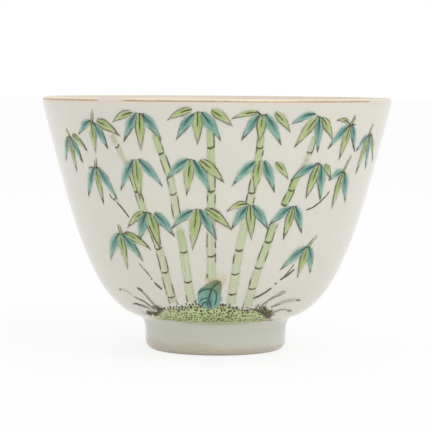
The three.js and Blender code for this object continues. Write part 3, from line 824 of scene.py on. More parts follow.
class Painting:
    """Strokes of enamel gathered into one piece on the wall."""

    DOT_SIDES = 7
    DOT_TOP = 0.6
    DOT_DEPTH = 0.1 * MM
    DOT_STRETCH = 1.7

    def __init__(self, wall):
        self.wall = wall
        self.mesh = bmesh.new()
        self.mesh.loops.layers.uv.new("stroke")
        self.seed = self.mesh.verts.layers.float.new("seed")

    def stroke(self, spine, width, coat, slot, seed, steps, rows):
        """Lays a grid along a spine: width is a function of the share along, coat of share and side."""
        made = bmesh.ops.create_grid(self.mesh, x_segments=steps, y_segments=rows, size=1, calc_uvs=True)
        for vert in made["verts"]:
            share = (vert.co.x + 1) / 2
            side = vert.co.y
            degrees, percent = self.wall.beside(spine, share, side * width(share) / 2)
            vert.co = self.wall.place(degrees, percent, coat(share, side))
        self.mark(made["verts"], slot, seed)

    def line(self, spine, width, coat, slot, seed, steps):
        """Draws an ink line along a spine."""
        self.stroke(
            spine, lambda share: width * pressed(share), lambda share, side: coat, slot, seed, steps, rows=1
        )

    def dot(self, degrees, percent, radius, coat, slot, seed):
        """Sets a small raised dot on the wall."""
        at = self.wall.place(degrees, percent, coat)
        out = (self.wall.place(degrees, percent, coat + MM) - at).to_track_quat("Z", "Y")
        upright = Matrix.Diagonal((1, self.DOT_STRETCH, 1, 1))
        made = bmesh.ops.create_cone(
            self.mesh, segments=self.DOT_SIDES, radius1=radius, radius2=radius * self.DOT_TOP,
            depth=self.DOT_DEPTH, cap_ends=True,
            matrix=Matrix.Translation(at) @ out.to_matrix().to_4x4() @ upright
        )
        self.mark(made["verts"], slot, seed)

    def mark(self, verts, slot, seed):
        """Gives new vertices their seed, and their faces a material slot."""
        for vert in verts:
            vert[self.seed] = seed
        for face in {face for vert in verts for face in vert.link_faces}:
            face.material_index = slot

    def piece(self, name):
        """Closes the strokes into thin solids that reach down into the glaze."""
        piece = piece_from(self.mesh, name)
        shell = piece.modifiers.new("Coat", "SOLIDIFY")
        shell.thickness = COAT_DEPTH
        shell.offset = -1
        return piece


def wire(tree, sockets, values):
    """Sets sockets to values, or links other sockets to them."""
    for key, value in values.items():
        if isinstance(value, bpy.types.NodeSocket):
            tree.links.new(value, sockets[key])
        else:
            sockets[key].default_value = value


def add(tree, kind, values=None, **settings):
    """Adds a shader node, with its settings, and its sockets set to values or linked to other sockets."""
    made = tree.nodes.new("ShaderNode" + kind)
    for key, value in settings.items():
        setattr(made, key, value)
    wire(tree, made.inputs, values or {})
    return made


def maths(tree, operation, first, second=0.0):
    return add(tree, "Math", {0: first, 1: second}, operation=operation).outputs[0]


def ramp(tree, value, low, high, start=0.0, end=1.0):
    values = {"Value": value, "From Min": low, "From Max": high, "To Min": start, "To Max": end}
    return add(tree, "MapRange", values, interpolation_type="SMOOTHSTEP").outputs[0]


def swing(tree, value, reach):
    """Share from 0 to 1 as a swing about zero."""
    return maths(tree, "MULTIPLY", maths(tree, "SUBTRACT", value, 0.5), reach)


def noise(tree, vector, scale, detail, roughness=0.5):
    values = {"Vector": vector, "Scale": scale, "Detail": detail, "Roughness": roughness}
    return add(tree, "TexNoise", values).outputs[0]


def bump(tree, height, strength, distance):
    return add(tree, "Bump", {"Strength": strength, "Distance": distance, "Height": height}).outputs[0]


def opaque(value):
    return value if isinstance(value, bpy.types.NodeSocket) else (*value, 1)


def blend(tree, factor, first, second):
    return add(tree, "Mix", {0: factor, 6: opaque(first), 7: opaque(second)}, data_type="RGBA").outputs[2]


def own_space(tree):
    return add(tree, "TexCoord").outputs["Object"]


def axes_of(tree, vector):
    return add(tree, "SeparateXYZ", {0: vector}).outputs


def stroke_seed(tree):
    return add(tree, "Attribute", attribute_name="seed").outputs["Fac"]


def node_group(name, inputs, outputs):
    """Starts a shader node group with named inputs and their defaults, and named outputs."""
    tree = bpy.data.node_groups.new(name, "ShaderNodeTree")
    for label, default in inputs.items():
        socket = tree.interface.new_socket(name=label, in_out="INPUT", socket_type="NodeSocketFloat")
        socket.default_value = default
    for label in outputs:
        tree.interface.new_socket(name=label, in_out="OUTPUT", socket_type="NodeSocketFloat")
    return tree, tree.nodes.new("NodeGroupInput").outputs, tree.nodes.new("NodeGroupOutput").inputs


def brush_wash():
    """Cover, dark heart and streaks of a wash of enamel, from a stroke's own map."""
    found = bpy.data.node_groups.get("Brush wash")
    if found:
        return found
    inputs = {"Softness": 0.4, "Raggedness": 0.3, "Heart": 0.6}
    tree, given, out = node_group("Brush wash", inputs, ("Cover", "Core", "Streak", "Along"))
    stroke = axes_of(tree, add(tree, "UVMap", uv_map="stroke").outputs[0])
    seed = stroke_seed(tree)
    along = maths(tree, "MULTIPLY", stroke[0], 2.2)
    across = maths(tree, "MULTIPLY", stroke[1], 9.0)
    lane = add(tree, "CombineXYZ", {0: along, 1: across, 2: maths(tree, "MULTIPLY", seed, 37.0)}).outputs[0]
    streak = noise(tree, lane, 1.0, 2.0)
    grain = noise(tree, own_space(tree), 1100.0, 3.0)
    side = maths(tree, "SUBTRACT", maths(tree, "MULTIPLY", stroke[1], 2.0), 1.0)
    edge = maths(tree, "SUBTRACT", 1.0, maths(tree, "ABSOLUTE", side))
    ragged = maths(tree, "ADD", edge, swing(tree, grain, given["Raggedness"]))
    cover = ramp(tree, ragged, 0.0, given["Softness"])
    for clear, full in ((0.0, 0.05), (1.0, 0.9)):
        cover = maths(tree, "MULTIPLY", cover, ramp(tree, stroke[0], clear, full))
    leaning = maths(tree, "ADD", side, swing(tree, seed, 0.22))
    heart = maths(tree, "SUBTRACT", 1.0, maths(tree, "ABSOLUTE", leaning))
    heart_across = ramp(tree, maths(tree, "ADD", heart, swing(tree, streak, 0.7)), 0.5, 1.02)
    heart_end = maths(tree, "ADD", given["Heart"], 0.3)
    heart_along = ramp(tree, stroke[0], heart_end, maths(tree, "SUBTRACT", given["Heart"], 0.3))
    core = maths(tree, "MULTIPLY", heart_across, heart_along)
    wire(tree, out, {"Cover": cover, "Core": core, "Streak": streak, "Along": stroke[0]})
    return tree


def kiln_skin():
    """Mottle, specks and fine ripple of a fired surface, from its place on the cup."""
    found = bpy.data.node_groups.get("Kiln skin")
    if found:
        return found
    tree, given, out = node_group("Kiln skin", {"Speck Size": 0.035}, ("Mottle", "Specks", "Ripple"))
    space = own_space(tree)
    mottle = noise(tree, space, 70.0, 5.0, 0.6)
    cells = add(tree, "TexVoronoi", {"Vector": space, "Scale": 210.0}).outputs
    chosen = maths(tree, "GREATER_THAN", add(tree, "SeparateColor", {0: cells["Color"]}).outputs[0], 0.8)
    specks = maths(tree, "MULTIPLY", ramp(tree, cells["Distance"], given["Speck Size"], 0.0), chosen)
    swell = noise(tree, space, 160.0, 2.0)
    pores = add(tree, "TexVoronoi", {"Vector": space, "Scale": 520.0}).outputs["Distance"]
    ripple = maths(tree, "SUBTRACT", swell, ramp(tree, pores, 0.09, 0.0))
    wire(tree, out, {"Mottle": mottle, "Specks": specks, "Ripple": ripple})
    return tree


def new_material(name):
    material = bpy.data.materials.new(name)
    material.use_nodes = True
    return material, material.node_tree, material.node_tree.nodes["Principled BSDF"].inputs


def glaze_finish(name, porcelain, colours, lip_level):
    """Clear glaze on porcelain, pooled where it runs thick, stained at the foot, blushed by the gold."""
    material, tree, shader = new_material(name)
    skin = add(tree, "Group", node_tree=kiln_skin()).outputs
    height = axes_of(tree, own_space(tree))[2]
    level = maths(tree, "ADD", height, swing(tree, skin["Mottle"], 6 * MM))
    pooled = ramp(tree, level, 12 * MM, 5 * MM)
    patchy = maths(tree, "MULTIPLY", ramp(tree, skin["Mottle"], 0.35, 0.75), 0.3)
    depth = maths(tree, "MAXIMUM", maths(tree, "MULTIPLY", pooled, 0.85), patchy)
    body = blend(tree, depth, porcelain, colours.pooled)
    toe = maths(tree, "MULTIPLY", ramp(tree, level, 3.2 * MM, 1.2 * MM), 0.28)
    stained = blend(tree, toe, body, colours.flash)
    tinge = maths(tree, "MULTIPLY", ramp(tree, height, lip_level - 0.2 * MM, lip_level + 0.5 * MM), 0.7)
    warmed = blend(tree, tinge, stained, colours.blush)
    wire(tree, shader, {
        "Base Color": blend(tree, maths(tree, "MULTIPLY", skin["Specks"], 0.35), warmed, colours.brown),
        "Roughness": ramp(tree, skin["Mottle"], 0.2, 0.8, 0.1, 0.2),
        "Normal": bump(tree, skin["Ripple"], 0.05, 0.05 * MM),
        "Specular IOR Level": 0.36,
    })
    return material


def biscuit_finish(colours):
    """Bare porcelain, dry and a little soiled, with a brown flash at its edges."""
    material, tree, shader = new_material("Bare porcelain")
    skin = add(tree, "Group", node_tree=kiln_skin()).outputs
    height = axes_of(tree, own_space(tree))[2]
    edge = ramp(tree, height, 0.1 * MM, 1.2 * MM, 0.25, 0.9)
    soil = maths(tree, "MULTIPLY", edge, ramp(tree, skin["Mottle"], 0.3, 0.7, 0.4, 1.0))
    body = blend(tree, soil, colours.biscuit, colours.flash)
    wire(tree, shader, {
        "Base Color": blend(tree, skin["Specks"], body, colours.ink),
        "Roughness": ramp(tree, skin["Mottle"], 0.2, 0.8, 0.6, 0.85),
        "Normal": bump(tree, skin["Ripple"], 0.3, 0.1 * MM),
    })
    return material


def gilt_finish(colours, low_edge):
    """Thin gold, paler on the crown as a painted highlight, browned along its edge and rubbed through in
    patches to the glaze.
    """
    material, tree, shader = new_material("Worn gilding")
    space = own_space(tree)
    axes = axes_of(tree, space)
    patches = noise(tree, space, 38.0, 6.0, 0.65)
    scuffs = noise(tree, space, 900.0, 2.0)
    rubbed = ramp(tree, maths(tree, "ADD", patches, maths(tree, "MULTIPLY", scuffs, 0.12)), 0.64, 0.76)
    bearing = maths(tree, "ARCTAN2", axes[0], maths(tree, "MULTIPLY", axes[1], -1.0))
    for degrees, half in GILT_WEAR:
        away = maths(tree, "ABSOLUTE", maths(tree, "SUBTRACT", bearing, math.radians(degrees)))
        spot = ramp(tree, away, math.radians(half + 1), math.radians(half - 1))
        rubbed = maths(tree, "MAXIMUM", rubbed, spot)
    height = maths(tree, "ADD", axes[2], swing(tree, scuffs, 0.2 * MM))
    # Painted highlight: the gold turns paler towards the crown and darker below it, which is partly the
    # gold's own browning towards its edge
    deep = ramp(tree, height, low_edge + 0.45 * MM, low_edge + 0.2 * MM)
    edge = ramp(tree, height, low_edge + 0.3 * MM, low_edge + 0.14 * MM)
    browned_and_highlit_gold = blend(tree, edge, blend(tree, deep, colours.gold, colours.browned_gold_below_highlight), colours.gold_line)
    wire(tree, shader, {
        "Base Color": blend(tree, rubbed, browned_and_highlit_gold, colours.rubbed),
        "Metallic": ramp(tree, maths(tree, "MAXIMUM", rubbed, edge), 0.2, 0.9, 0.85, 0.0),
        "Roughness": ramp(tree, scuffs, 0.3, 0.7, 0.24, 0.38),
    })
    return material


def wash_finish(name, body, deep, faded, *, density, softness, raggedness, heart=0.6, strength=1.0,
                fade_from=0.62):
    """Translucent enamel wash that thins at its edges, fades at its tip and gathers into a dark heart."""
    material, tree, shader = new_material(name)
    settings = {"Softness": softness, "Raggedness": raggedness, "Heart": heart}
    wash = add(tree, "Group", settings, node_tree=brush_wash()).outputs
    skin = add(tree, "Group", node_tree=kiln_skin()).outputs
    streaks = ramp(tree, wash["Streak"], 0.4, 0.7, 0.0, 0.22)
    tone = maths(tree, "ADD", streaks, maths(tree, "MULTIPLY", stroke_seed(tree), 0.08))
    depth = maths(tree, "MAXIMUM", tone, maths(tree, "MULTIPLY", wash["Core"], strength))
    laid = blend(tree, depth, body, deep)
    fade = maths(tree, "MULTIPLY", ramp(tree, wash["Along"], fade_from, 1.0), 0.75)
    thinned = ramp(tree, wash["Streak"], 0.25, 0.6, density * 0.75, density)
    wire(tree, shader, {
        "Base Color": blend(tree, fade, laid, faded),
        "Alpha": maths(tree, "MULTIPLY", wash["Cover"], thinned),
        "Roughness": ramp(tree, skin["Mottle"], 0.2, 0.8, 0.12, 0.26),
        "Normal": bump(tree, wash["Streak"], 0.15, 0.05 * MM),
    })
    return material


def ink_finish(name, tint, thin, density=0.86, breaks=0.44):
    """Brushed ink that runs dry in places."""
    material, tree, shader = new_material(name)
    settings = {"Softness": 0.6, "Raggedness": 1.1, "Heart": 0.9}
    wash = add(tree, "Group", settings, node_tree=brush_wash()).outputs
    dry = noise(tree, own_space(tree), 520.0, 2.0)
    flow = ramp(tree, dry, breaks - 0.14, breaks + 0.08, 0.12, 1.0)
    wire(tree, shader, {
        "Base Color": blend(tree, ramp(tree, wash["Streak"], 0.35, 0.7), tint, thin),
        "Alpha": maths(tree, "MULTIPLY", maths(tree, "MULTIPLY", wash["Cover"], flow), density),
        "Roughness": ramp(tree, dry, 0.2, 0.8, 0.2, 0.4),
    })
    return material


def dot_finish(colours):
    """Dark raised dots of moss."""
    material, tree, shader = new_material("Moss dots")
    skin = add(tree, "Group", node_tree=kiln_skin()).outputs
    wire(tree, shader, {
        "Base Color": blend(tree, stroke_seed(tree), colours.ink, colours.jade_core),
        "Roughness": ramp(tree, skin["Mottle"], 0.2, 0.8, 0.18, 0.35),
    })
    return material


def outline_ink(colours):
    """Ink of the outlines, made on first use."""
    name = "Outline ink"
    return bpy.data.materials.get(name) or ink_finish(name, colours.ink, colours.thin_ink)


class TEACUP_OT_turn_body(bpy.types.Operator):
    """Turn the bare porcelain bowl and the foot ring luted under it"""

    bl_idname = "teacup.turn_body"
    bl_label = "Turn bowl and foot"

    def execute(self, context):
        sizes = context.scene.teacup_sizes
        section = Section(sizes)
        bare = biscuit_finish(context.scene.teacup_colours)
        underside = [Vector((0, sizes.foot_height))]
        bowl = underside + section.outside(sizes.glaze) + section.inside(sizes.glaze)[1:]
        settle(turn("porcelain_bowl", bowl), "bowl_wall", "porcelain_body", bare)

        bare_toe = [section.toe(sizes.toe_bare * share, 0) for share in shares(TOE_STEPS)]
        ring = bare_toe + section.foot_side(sizes.glaze) + [
            Vector((sizes.recess_radius, sizes.foot_height)),
            Vector((sizes.recess_radius, sizes.heel_bevel)),
            Vector((sizes.recess_radius + sizes.heel_bevel, 0)),
        ]
        settle(turn("foot", ring, closed=True), "foot_ring", "porcelain_body", bare)
        return {"FINISHED"}


class TEACUP_OT_glaze(bpy.types.Operator):
    """Coat the cup with clear glaze outside, inside and under its base"""

    bl_idname = "teacup.glaze"
    bl_label = "Glaze"

    def execute(self, context):
        sizes = context.scene.teacup_sizes
        section = Section(sizes)
        colours = context.scene.teacup_colours
        clear = glaze_finish("Porcelain glaze", colours.porcelain, colours, sizes.lip_spring)
        # The lining gets the lighter glaze colour, painted light standing in for light that falls inside the
        # cup
        white = glaze_finish("Lining glaze with painted light", colours.lining, colours, sizes.lip_spring)
        front = section.foot_side(0) + section.outside(0)[1:]
        back = section.foot_side(sizes.glaze) + section.outside(sizes.glaze)[1:]
        settle(turn("outer_coat", front + back[::-1], closed=True), "outer_glaze", "glaze", clear)

        lining = section.inside(sizes.glaze)[::-1] + section.inside(0)
        settle(turn("inner_coat", lining), "inner_glaze", "glaze", white)

        inner = sizes.recess_radius - sizes.glaze
        top = sizes.foot_height
        under = [
            Vector((0, top - sizes.glaze)),
            Vector((inner, top - sizes.glaze)),
            Vector((inner, sizes.heel_bevel)),
            Vector((sizes.recess_radius, sizes.heel_bevel)),
            Vector((sizes.recess_radius, top)),
            Vector((0, top)),
        ]
        settle(turn("base_coat", under), "base_glaze", "glaze", clear)
        return {"FINISHED"}


class TEACUP_OT_gild_lip(bpy.types.Operator):
    """Lay the gold band over the lip"""

    bl_idname = "teacup.gild_lip"
    bl_label = "Gild lip"

    def execute(self, context):
        sizes = context.scene.teacup_sizes
        section = Section(sizes)
        start, end = GILT_SPAN
        reach = [start + (end - start) * share for share in shares(LIP_STEPS)]
        outer, inner = (
            [section.lip(share, depth) for share in reach] for depth in (-sizes.gilt_film, sizes.gilt_film)
        )
        gold = gilt_finish(context.scene.teacup_colours, section.lip(start, 0).y)
        settle(turn("gold_band", outer + inner[::-1], closed=True), "gilt_rim", "gilt", gold)
        return {"FINISHED"}


class TEACUP_OT_paint_mound(bpy.types.Operator):
    """Paint the mossy bank of earth at the foot of the grove"""

    bl_idname = "teacup.paint_mound"
    bl_label = "Paint mound"

    EARTH, MOSS, INK = range(3)
    SEED = 11
    LEAST_HEIGHT = 0.2
    CREST_PRESS = 1.4
    DOT_ROWS, DOT_COLUMNS = 9, 44
    DOT_START = (-38, 4.2)
    DOT_PITCH = 1.7
    DOT_STRAY = 0.5
    CROWD_REACH = 42
    DOT_CHANCE, CROWDED_CHANCE = 0.72, 0.24
    DOT_LEAST, DOT_SPREAD, DOT_CROWDED = 0.17, 0.13, 0.04
    DOT_LIGHTEST = 0.25

    def execute(self, context):
        sizes = context.scene.teacup_sizes
        colours = context.scene.teacup_colours
        wall = Wall(sizes)
        crest = spline(CREST)
        foot = spline(MOUND_FOOT)
        painting = Painting(wall)

        def height_at(line, degrees):
            return line(share_where(line, 0, degrees)).y

        def middle(share):
            top = crest(share)
            return top.x, (top.y + height_at(foot, top.x)) / 2

        def reach(share):
            top = crest(share)
            return max(top.y - height_at(foot, top.x), self.LEAST_HEIGHT) * wall.per_percent()

        def coat(share, side):
            return MOUND_COAT + MOUND_DOME * (1 - side ** 4)

        painting.stroke(middle, reach, coat, self.EARTH, seed=0.5, steps=64, rows=10)
        rng = random.Random(self.SEED)
        top_coat = MOUND_COAT + MOUND_DOME
        for row in range(self.DOT_ROWS):
            for column in range(self.DOT_COLUMNS):
                along = (column + row % 2 / 2) * self.DOT_PITCH
                up = row * self.DOT_PITCH
                degrees = self.DOT_START[0] + along + rng.uniform(-self.DOT_STRAY, self.DOT_STRAY)
                height = self.DOT_START[1] + up + rng.uniform(-self.DOT_STRAY, self.DOT_STRAY)
                crowd = max(0, 1 - abs(degrees) / self.CROWD_REACH)
                if height >= height_at(crest, degrees):
                    continue
                if rng.random() < self.DOT_CHANCE + self.CROWDED_CHANCE * crowd:
                    radius = self.DOT_LEAST + self.DOT_SPREAD * rng.random() ** 2 + self.DOT_CROWDED * crowd
                    tint = rng.random() ** 2 * self.DOT_LIGHTEST
                    painting.dot(degrees, height, radius * MM, top_coat, self.MOSS, tint)
        for places in CREST_INK:
            width = sizes.ink_width * self.CREST_PRESS
            painting.line(spline(places), width, top_coat + INK_COAT, self.INK, rng.random(), steps=12)
        earth = wash_finish("Mound enamel", colours.mound, colours.mound_shade, colours.mound, density=1.0,
                            softness=0.5, raggedness=0.15, heart=2.0, strength=0.6)
        finishes = (earth, dot_finish(colours), outline_ink(colours))
        settle(painting.piece("mossy_bank"), "earth_mound", "mound_enamel", *finishes)
        return {"FINISHED"}


class TEACUP_OT_paint_culms(bpy.types.Operator):
    """Paint the five bamboo stalks with their knots"""

    bl_idname = "teacup.paint_culms"
    bl_label = "Paint culms"

    TONES = ("green", "pale", "deep")
    EDGE_INK, KNOT_INK = 3, 4
    SEED = 23
    BLEED = 1.4
    EDGES = {"left_ink": 1, "right_ink": -1}
    EDGE_REACH, EDGE_PRESS, EDGE_LIFT = 0.47, 1.2, 0.4
    KNOT_REACH, KNOT_PRESS = 0.94, 1.9
    KNOT_SAG, KNOT_RISE, KNOT_TILT = 0.75, 0.5, 0.5
    STEPS_ALONG, LEAST_STEPS = 60, 12

    def execute(self, context):
        sizes = context.scene.teacup_sizes
        wall = Wall(sizes)
        finishes = self.finishes(context.scene.teacup_colours)
        rng = random.Random(self.SEED)

        def width(share):
            return sizes.culm_low + (sizes.culm_high - sizes.culm_low) * share

        def bled(share):
            return width(share) * self.BLEED

        def coat(share, side):
            return CULM_COAT + CULM_DOME * (1 - side * side)

        for node, culm in CULMS.items():
            painting = Painting(wall)
            spine = spline(culm["spine"])
            for low, high, tone in culm["washes"]:
                start, end = (share_where(spine, 1, percent) for percent in (low, high))
                steps = max(self.LEAST_STEPS, round(self.STEPS_ALONG * (end - start)))
                painting.stroke(stretch(spine, start, end), stretch(bled, start, end), coat,
                                self.TONES.index(tone), rng.random(), steps, rows=6)
            for name, side in self.EDGES.items():
                for low, high in culm[name]:
                    start, end = (share_where(spine, 1, percent) for percent in (low, high))
                    edge = wall.shifted(spine, lambda share: side * width(start) * self.EDGE_REACH)
                    painting.line(stretch(edge, start, end), sizes.ink_width * self.EDGE_PRESS,
                                  CULM_COAT + INK_COAT + CULM_DOME * self.EDGE_LIFT, self.EDGE_INK,
                                  rng.random(), steps=14)
            for percent in culm["knots"]:
                share = share_where(spine, 1, percent)
                painting.line(self.knot(wall, spine, width(share), share), sizes.ink_width * self.KNOT_PRESS,
                              CULM_COAT + CULM_DOME + INK_COAT, self.KNOT_INK, rng.random(), steps=10)
            settle(painting.piece("stalk_" + node[-1]), node, "culm_enamel", *finishes)
        return {"FINISHED"}

    def finishes(self, colours):
        """Washes of the stalks in the order of their tones, then the inks."""
        light = (colours.culm, colours.culm_shade, colours.culm_high)
        dark = (colours.culm_high, colours.jade_core, colours.culm_high)
        return (
            wash_finish("Culm enamel", *light, density=0.95, softness=0.75, raggedness=0.3, heart=1.6,
                        strength=0.3, fade_from=0.25),
            wash_finish("Thin culm enamel", *light, density=0.6, softness=0.9, raggedness=0.4, heart=1.6,
                        strength=0.2),
            wash_finish("Deep culm enamel", *dark, density=0.95, softness=0.75, raggedness=0.3, heart=1.6,
                        strength=0.4),
            outline_ink(colours),
            ink_finish("Knot ink", colours.ink, colours.thin_ink, breaks=0.3),
        )

    def knot(self, wall, spine, width, share):
        """Sagging line across a culm."""
        def at(part):
            degrees, percent = wall.beside(spine, share, width * (0.5 - part) * self.KNOT_REACH)
            sag = self.KNOT_SAG * (1 - (2 * part - 1) ** 2)
            return degrees, percent + self.KNOT_RISE - sag + self.KNOT_TILT * (part - 0.5)
        return at


class TEACUP_OT_paint_sprays(bpy.types.Operator):
    """Paint the sprays of bamboo leaves, each on its knot"""

    bl_idname = "teacup.paint_sprays"
    bl_label = "Paint sprays"

    JADE, TEAL, INK, FAINT = range(4)
    SEED = 100
    BOW, LEANING_BOW = 0.25, 0.55
    BLEED = {"jade": 1.5, "teal": 1.7}
    LEAST_WIDTH = 0.1 * MM
    RIB_ENDS = {"jade": (0.42, 0.55), "teal": (0.22, 0.38)}
    RIB_PRESS = {"jade": 1.3, "teal": 1.1}
    SIDES = {"E": 1, "W": -1}
    FAINT_STARTS = {"jade": (0.25, 0.5), "teal": (0.7, 0.8)}
    STRONG_STARTS = {"jade": (0.0, 0.1), "teal": (0.35, 0.5)}
    EDGE_ENDS = (0.94, 1.0)
    EDGE_REACH, EDGE_LIFT = 0.46, 0.4
    FAINT_PRESS, STRONG_PRESS = 0.55, 0.75
    TIP_SPAN = (0.8, 1.02)
    TIP_PRESS, TIP_LIFT = 1.3, 0.2
    GATHER = 0.5
    GATHER_REACH = 1.2 * MM
    DAB_LEAST = 0.2 * MM
    DAB_REACH = 1.8 * MM
    STROKE_PRESS = 1.1
    STEM_WIDTH = 1.0 * MM
    STEM_TAIL = 0.45
    STEM_EDGES = (-0.3 * MM, 0.3 * MM)
    STEM_EDGE_ENDS = (0.75, 1.0)

    def execute(self, context):
        colours = context.scene.teacup_colours
        self.sizes = context.scene.teacup_sizes
        self.wall = Wall(self.sizes)
        finishes = (
            wash_finish("Jade enamel", colours.jade, colours.jade_core, colours.jade_tip,
                        density=0.92, softness=1.0, raggedness=0.4),
            wash_finish("Teal enamel", colours.teal, colours.teal_core, colours.teal_tip,
                        density=0.95, softness=1.0, raggedness=0.5),
            outline_ink(colours),
            ink_finish("Faint ink", colours.faint, colours.thin_ink, 0.5, 0.52),
        )
        for count, (node, spray) in enumerate(SPRAYS.items()):
            rng = random.Random(self.SEED + count)
            painting = Painting(self.wall)
            for index, leaf in enumerate(spray["leaves"]):
                self.leaf(painting, spray["joint"], leaf, index * LEAF_STACK, rng)
            self.knot(painting, spray, rng)
            settle(painting.piece(node.replace("_spray", "_leaves")), node, "leaf_enamel", *finishes)
        return {"FINISHED"}

    def leaf(self, painting, joint, leaf, stack, rng):
        """Lays one leaf: its wash, its midrib, its two edges and its inked tip."""
        kind, base, tip, widest, inked = leaf
        gap = max(self.wall.apart(base, joint), self.GATHER_REACH)
        root = Vector(base).lerp(Vector(joint), self.GATHER * self.GATHER_REACH / gap)
        reach = self.wall.apart(root, tip)
        lean = self.wall.apart(root, (tip[0], root[1]))
        spine = arched(root, tip, self.BOW + self.LEANING_BOW * lean / reach)
        ink = self.sizes.ink_width

        def outline(share):
            return widest * MM * blade(share)

        def width(share):
            return max(outline(share) * self.BLEED[kind], self.LEAST_WIDTH)

        def coat(share, side):
            return LEAF_COAT + stack + LEAF_DOME * (1 - side * side) * blade(share)

        wash = self.JADE if kind == "jade" else self.TEAL
        painting.stroke(spine, width, coat, wash, rng.random(), steps=16, rows=6)
        crown = LEAF_COAT + stack + LEAF_DOME + INK_COAT
        rim = LEAF_COAT + stack + LEAF_DOME * self.EDGE_LIFT + INK_COAT
        rib = stretch(spine, 0.0, rng.uniform(*self.RIB_ENDS[kind]))
        painting.line(rib, ink * self.RIB_PRESS[kind], crown, self.INK, rng.random(), steps=8)
        for name, side in self.SIDES.items():
            strong = name in inked
            start = rng.uniform(*(self.STRONG_STARTS if strong else self.FAINT_STARTS)[kind])
            edge = self.wall.shifted(spine, lambda share: side * outline(share) * self.EDGE_REACH)
            line = stretch(edge, start, rng.uniform(*self.EDGE_ENDS))
            press = self.STRONG_PRESS if strong else self.FAINT_PRESS
            painting.line(line, ink * press, rim, self.INK if strong else self.FAINT, rng.random(), steps=14)
        end = stretch(spine, *self.TIP_SPAN)
        tip_coat = rim + LEAF_DOME * self.TIP_LIFT
        painting.line(end, ink * self.TIP_PRESS, tip_coat, self.FAINT, rng.random(), steps=5)

    def knot(self, painting, spray, rng):
        """Dabs that gather the leaves to their knot, with extra strokes and the stem where they show."""
        ink = self.sizes.ink_width
        crown = LEAF_COAT + LEAF_DOME
        for kind, root, *_ in spray["leaves"]:
            if self.DAB_LEAST < self.wall.apart(root, spray["joint"]) < self.DAB_REACH:
                dab = spline((spray["joint"], root))
                slot = self.INK if kind == "jade" else self.FAINT
                painting.line(dab, ink, crown, slot, rng.random(), steps=5)
        for places in spray.get("strokes", ()):
            width = ink * self.STROKE_PRESS
            painting.line(spline(places), width, crown + LEAF_DOME, self.INK, rng.random(), steps=8)
        if "stem" in spray:
            tail = Vector(spray["joint"]).lerp(Vector(spray["stem"]), -self.STEM_TAIL)
            stem = spline((tail, spray["stem"]))
            painting.stroke(stem, lambda share: self.STEM_WIDTH, lambda share, side: LEAF_COAT - INK_COAT,
                            self.JADE, rng.random(), steps=6, rows=2)
            for offset in self.STEM_EDGES:
                edge = self.wall.shifted(stem, lambda share: offset)
                line = stretch(edge, 0.0, rng.uniform(*self.STEM_EDGE_ENDS))
                painting.line(line, ink, LEAF_COAT, self.INK, rng.random(), steps=6)


class TEACUP_OT_paint_twigs(bpy.types.Operator):
    """Paint the thin twigs that carry the side sprays"""

    bl_idname = "teacup.paint_twigs"
    bl_label = "Paint twigs"

    SEED = 41
    BLEED = 1.2

    def execute(self, context):
        colours = context.scene.teacup_colours
        ink = ink_finish("Twig ink", colours.ink, colours.thin_ink, 0.85, 0.3)
        wall = Wall(context.scene.teacup_sizes)
        rng = random.Random(self.SEED)
        for node, strokes in TWIGS.items():
            painting = Painting(wall)
            for breadth, *places in strokes:
                width = self.BLEED * breadth * MM
                painting.line(spline(places), width, TWIG_COAT, 0, rng.random(), steps=12)
            settle(painting.piece(node.replace("twig", "sprig")), node, "twig_enamel", ink)
        return {"FINISHED"}


class TEACUP_OT_paint_broad_leaf(bpy.types.Operator):
    """Paint the broad teal leaf and the yellow stain above it"""

    bl_idname = "teacup.paint_broad_leaf"
    bl_label = "Paint broad leaf"

    WASH, INK, STAIN = range(3)
    SEED = 57
    VEIN_PRESS, EDGE_PRESS = 1.6, 1.1
    STAIN_WIDTH = 4.2 * MM

    def execute(self, context):
        sizes = context.scene.teacup_sizes
        colours = context.scene.teacup_colours
        rng = random.Random(self.SEED)
        painting = Painting(Wall(sizes))
        swell = spline(BROAD_WIDTHS)

        def width(share):
            return sizes.broad_leaf_width * swell(share)[1]

        def coat(share, side):
            return BROAD_COAT + BROAD_DOME * (1 - side * side) * math.sin(math.pi * share)

        painting.stroke(spline(BROAD_LEAF), width, coat, self.WASH, seed=0.5, steps=24, rows=12)
        vein_coat = BROAD_COAT + BROAD_DOME + INK_COAT
        for places in BROAD_VEINS:
            press = sizes.ink_width * self.VEIN_PRESS
            painting.line(spline(places), press, vein_coat, self.INK, rng.random(), steps=16)
        for places in BROAD_EDGES:
            press = sizes.ink_width * self.EDGE_PRESS
            painting.line(spline(places), press, BROAD_COAT + INK_COAT, self.INK, rng.random(), steps=10)
        painting.stroke(spline(STAIN), lambda share: self.STAIN_WIDTH, lambda share, side: STAIN_COAT,
                        self.STAIN, seed=0.5, steps=10, rows=6)
        finishes = (
            wash_finish("Broad leaf enamel", colours.broad_leaf, colours.teal_core, colours.broad_tip,
                        density=1.0, softness=0.3, raggedness=0.25, strength=0.75, fade_from=0.4),
            ink_finish("Vein ink", colours.vein, colours.teal_core, breaks=0.34),
            wash_finish("Yellow stain", colours.stain, colours.stain_edge, colours.stain,
                        density=0.28, softness=1.0, raggedness=0.2, heart=0.0, strength=0.0),
        )
        settle(painting.piece("broad_teal_leaf"), "broad_leaf", "teal_enamel", *finishes)
        return {"FINISHED"}


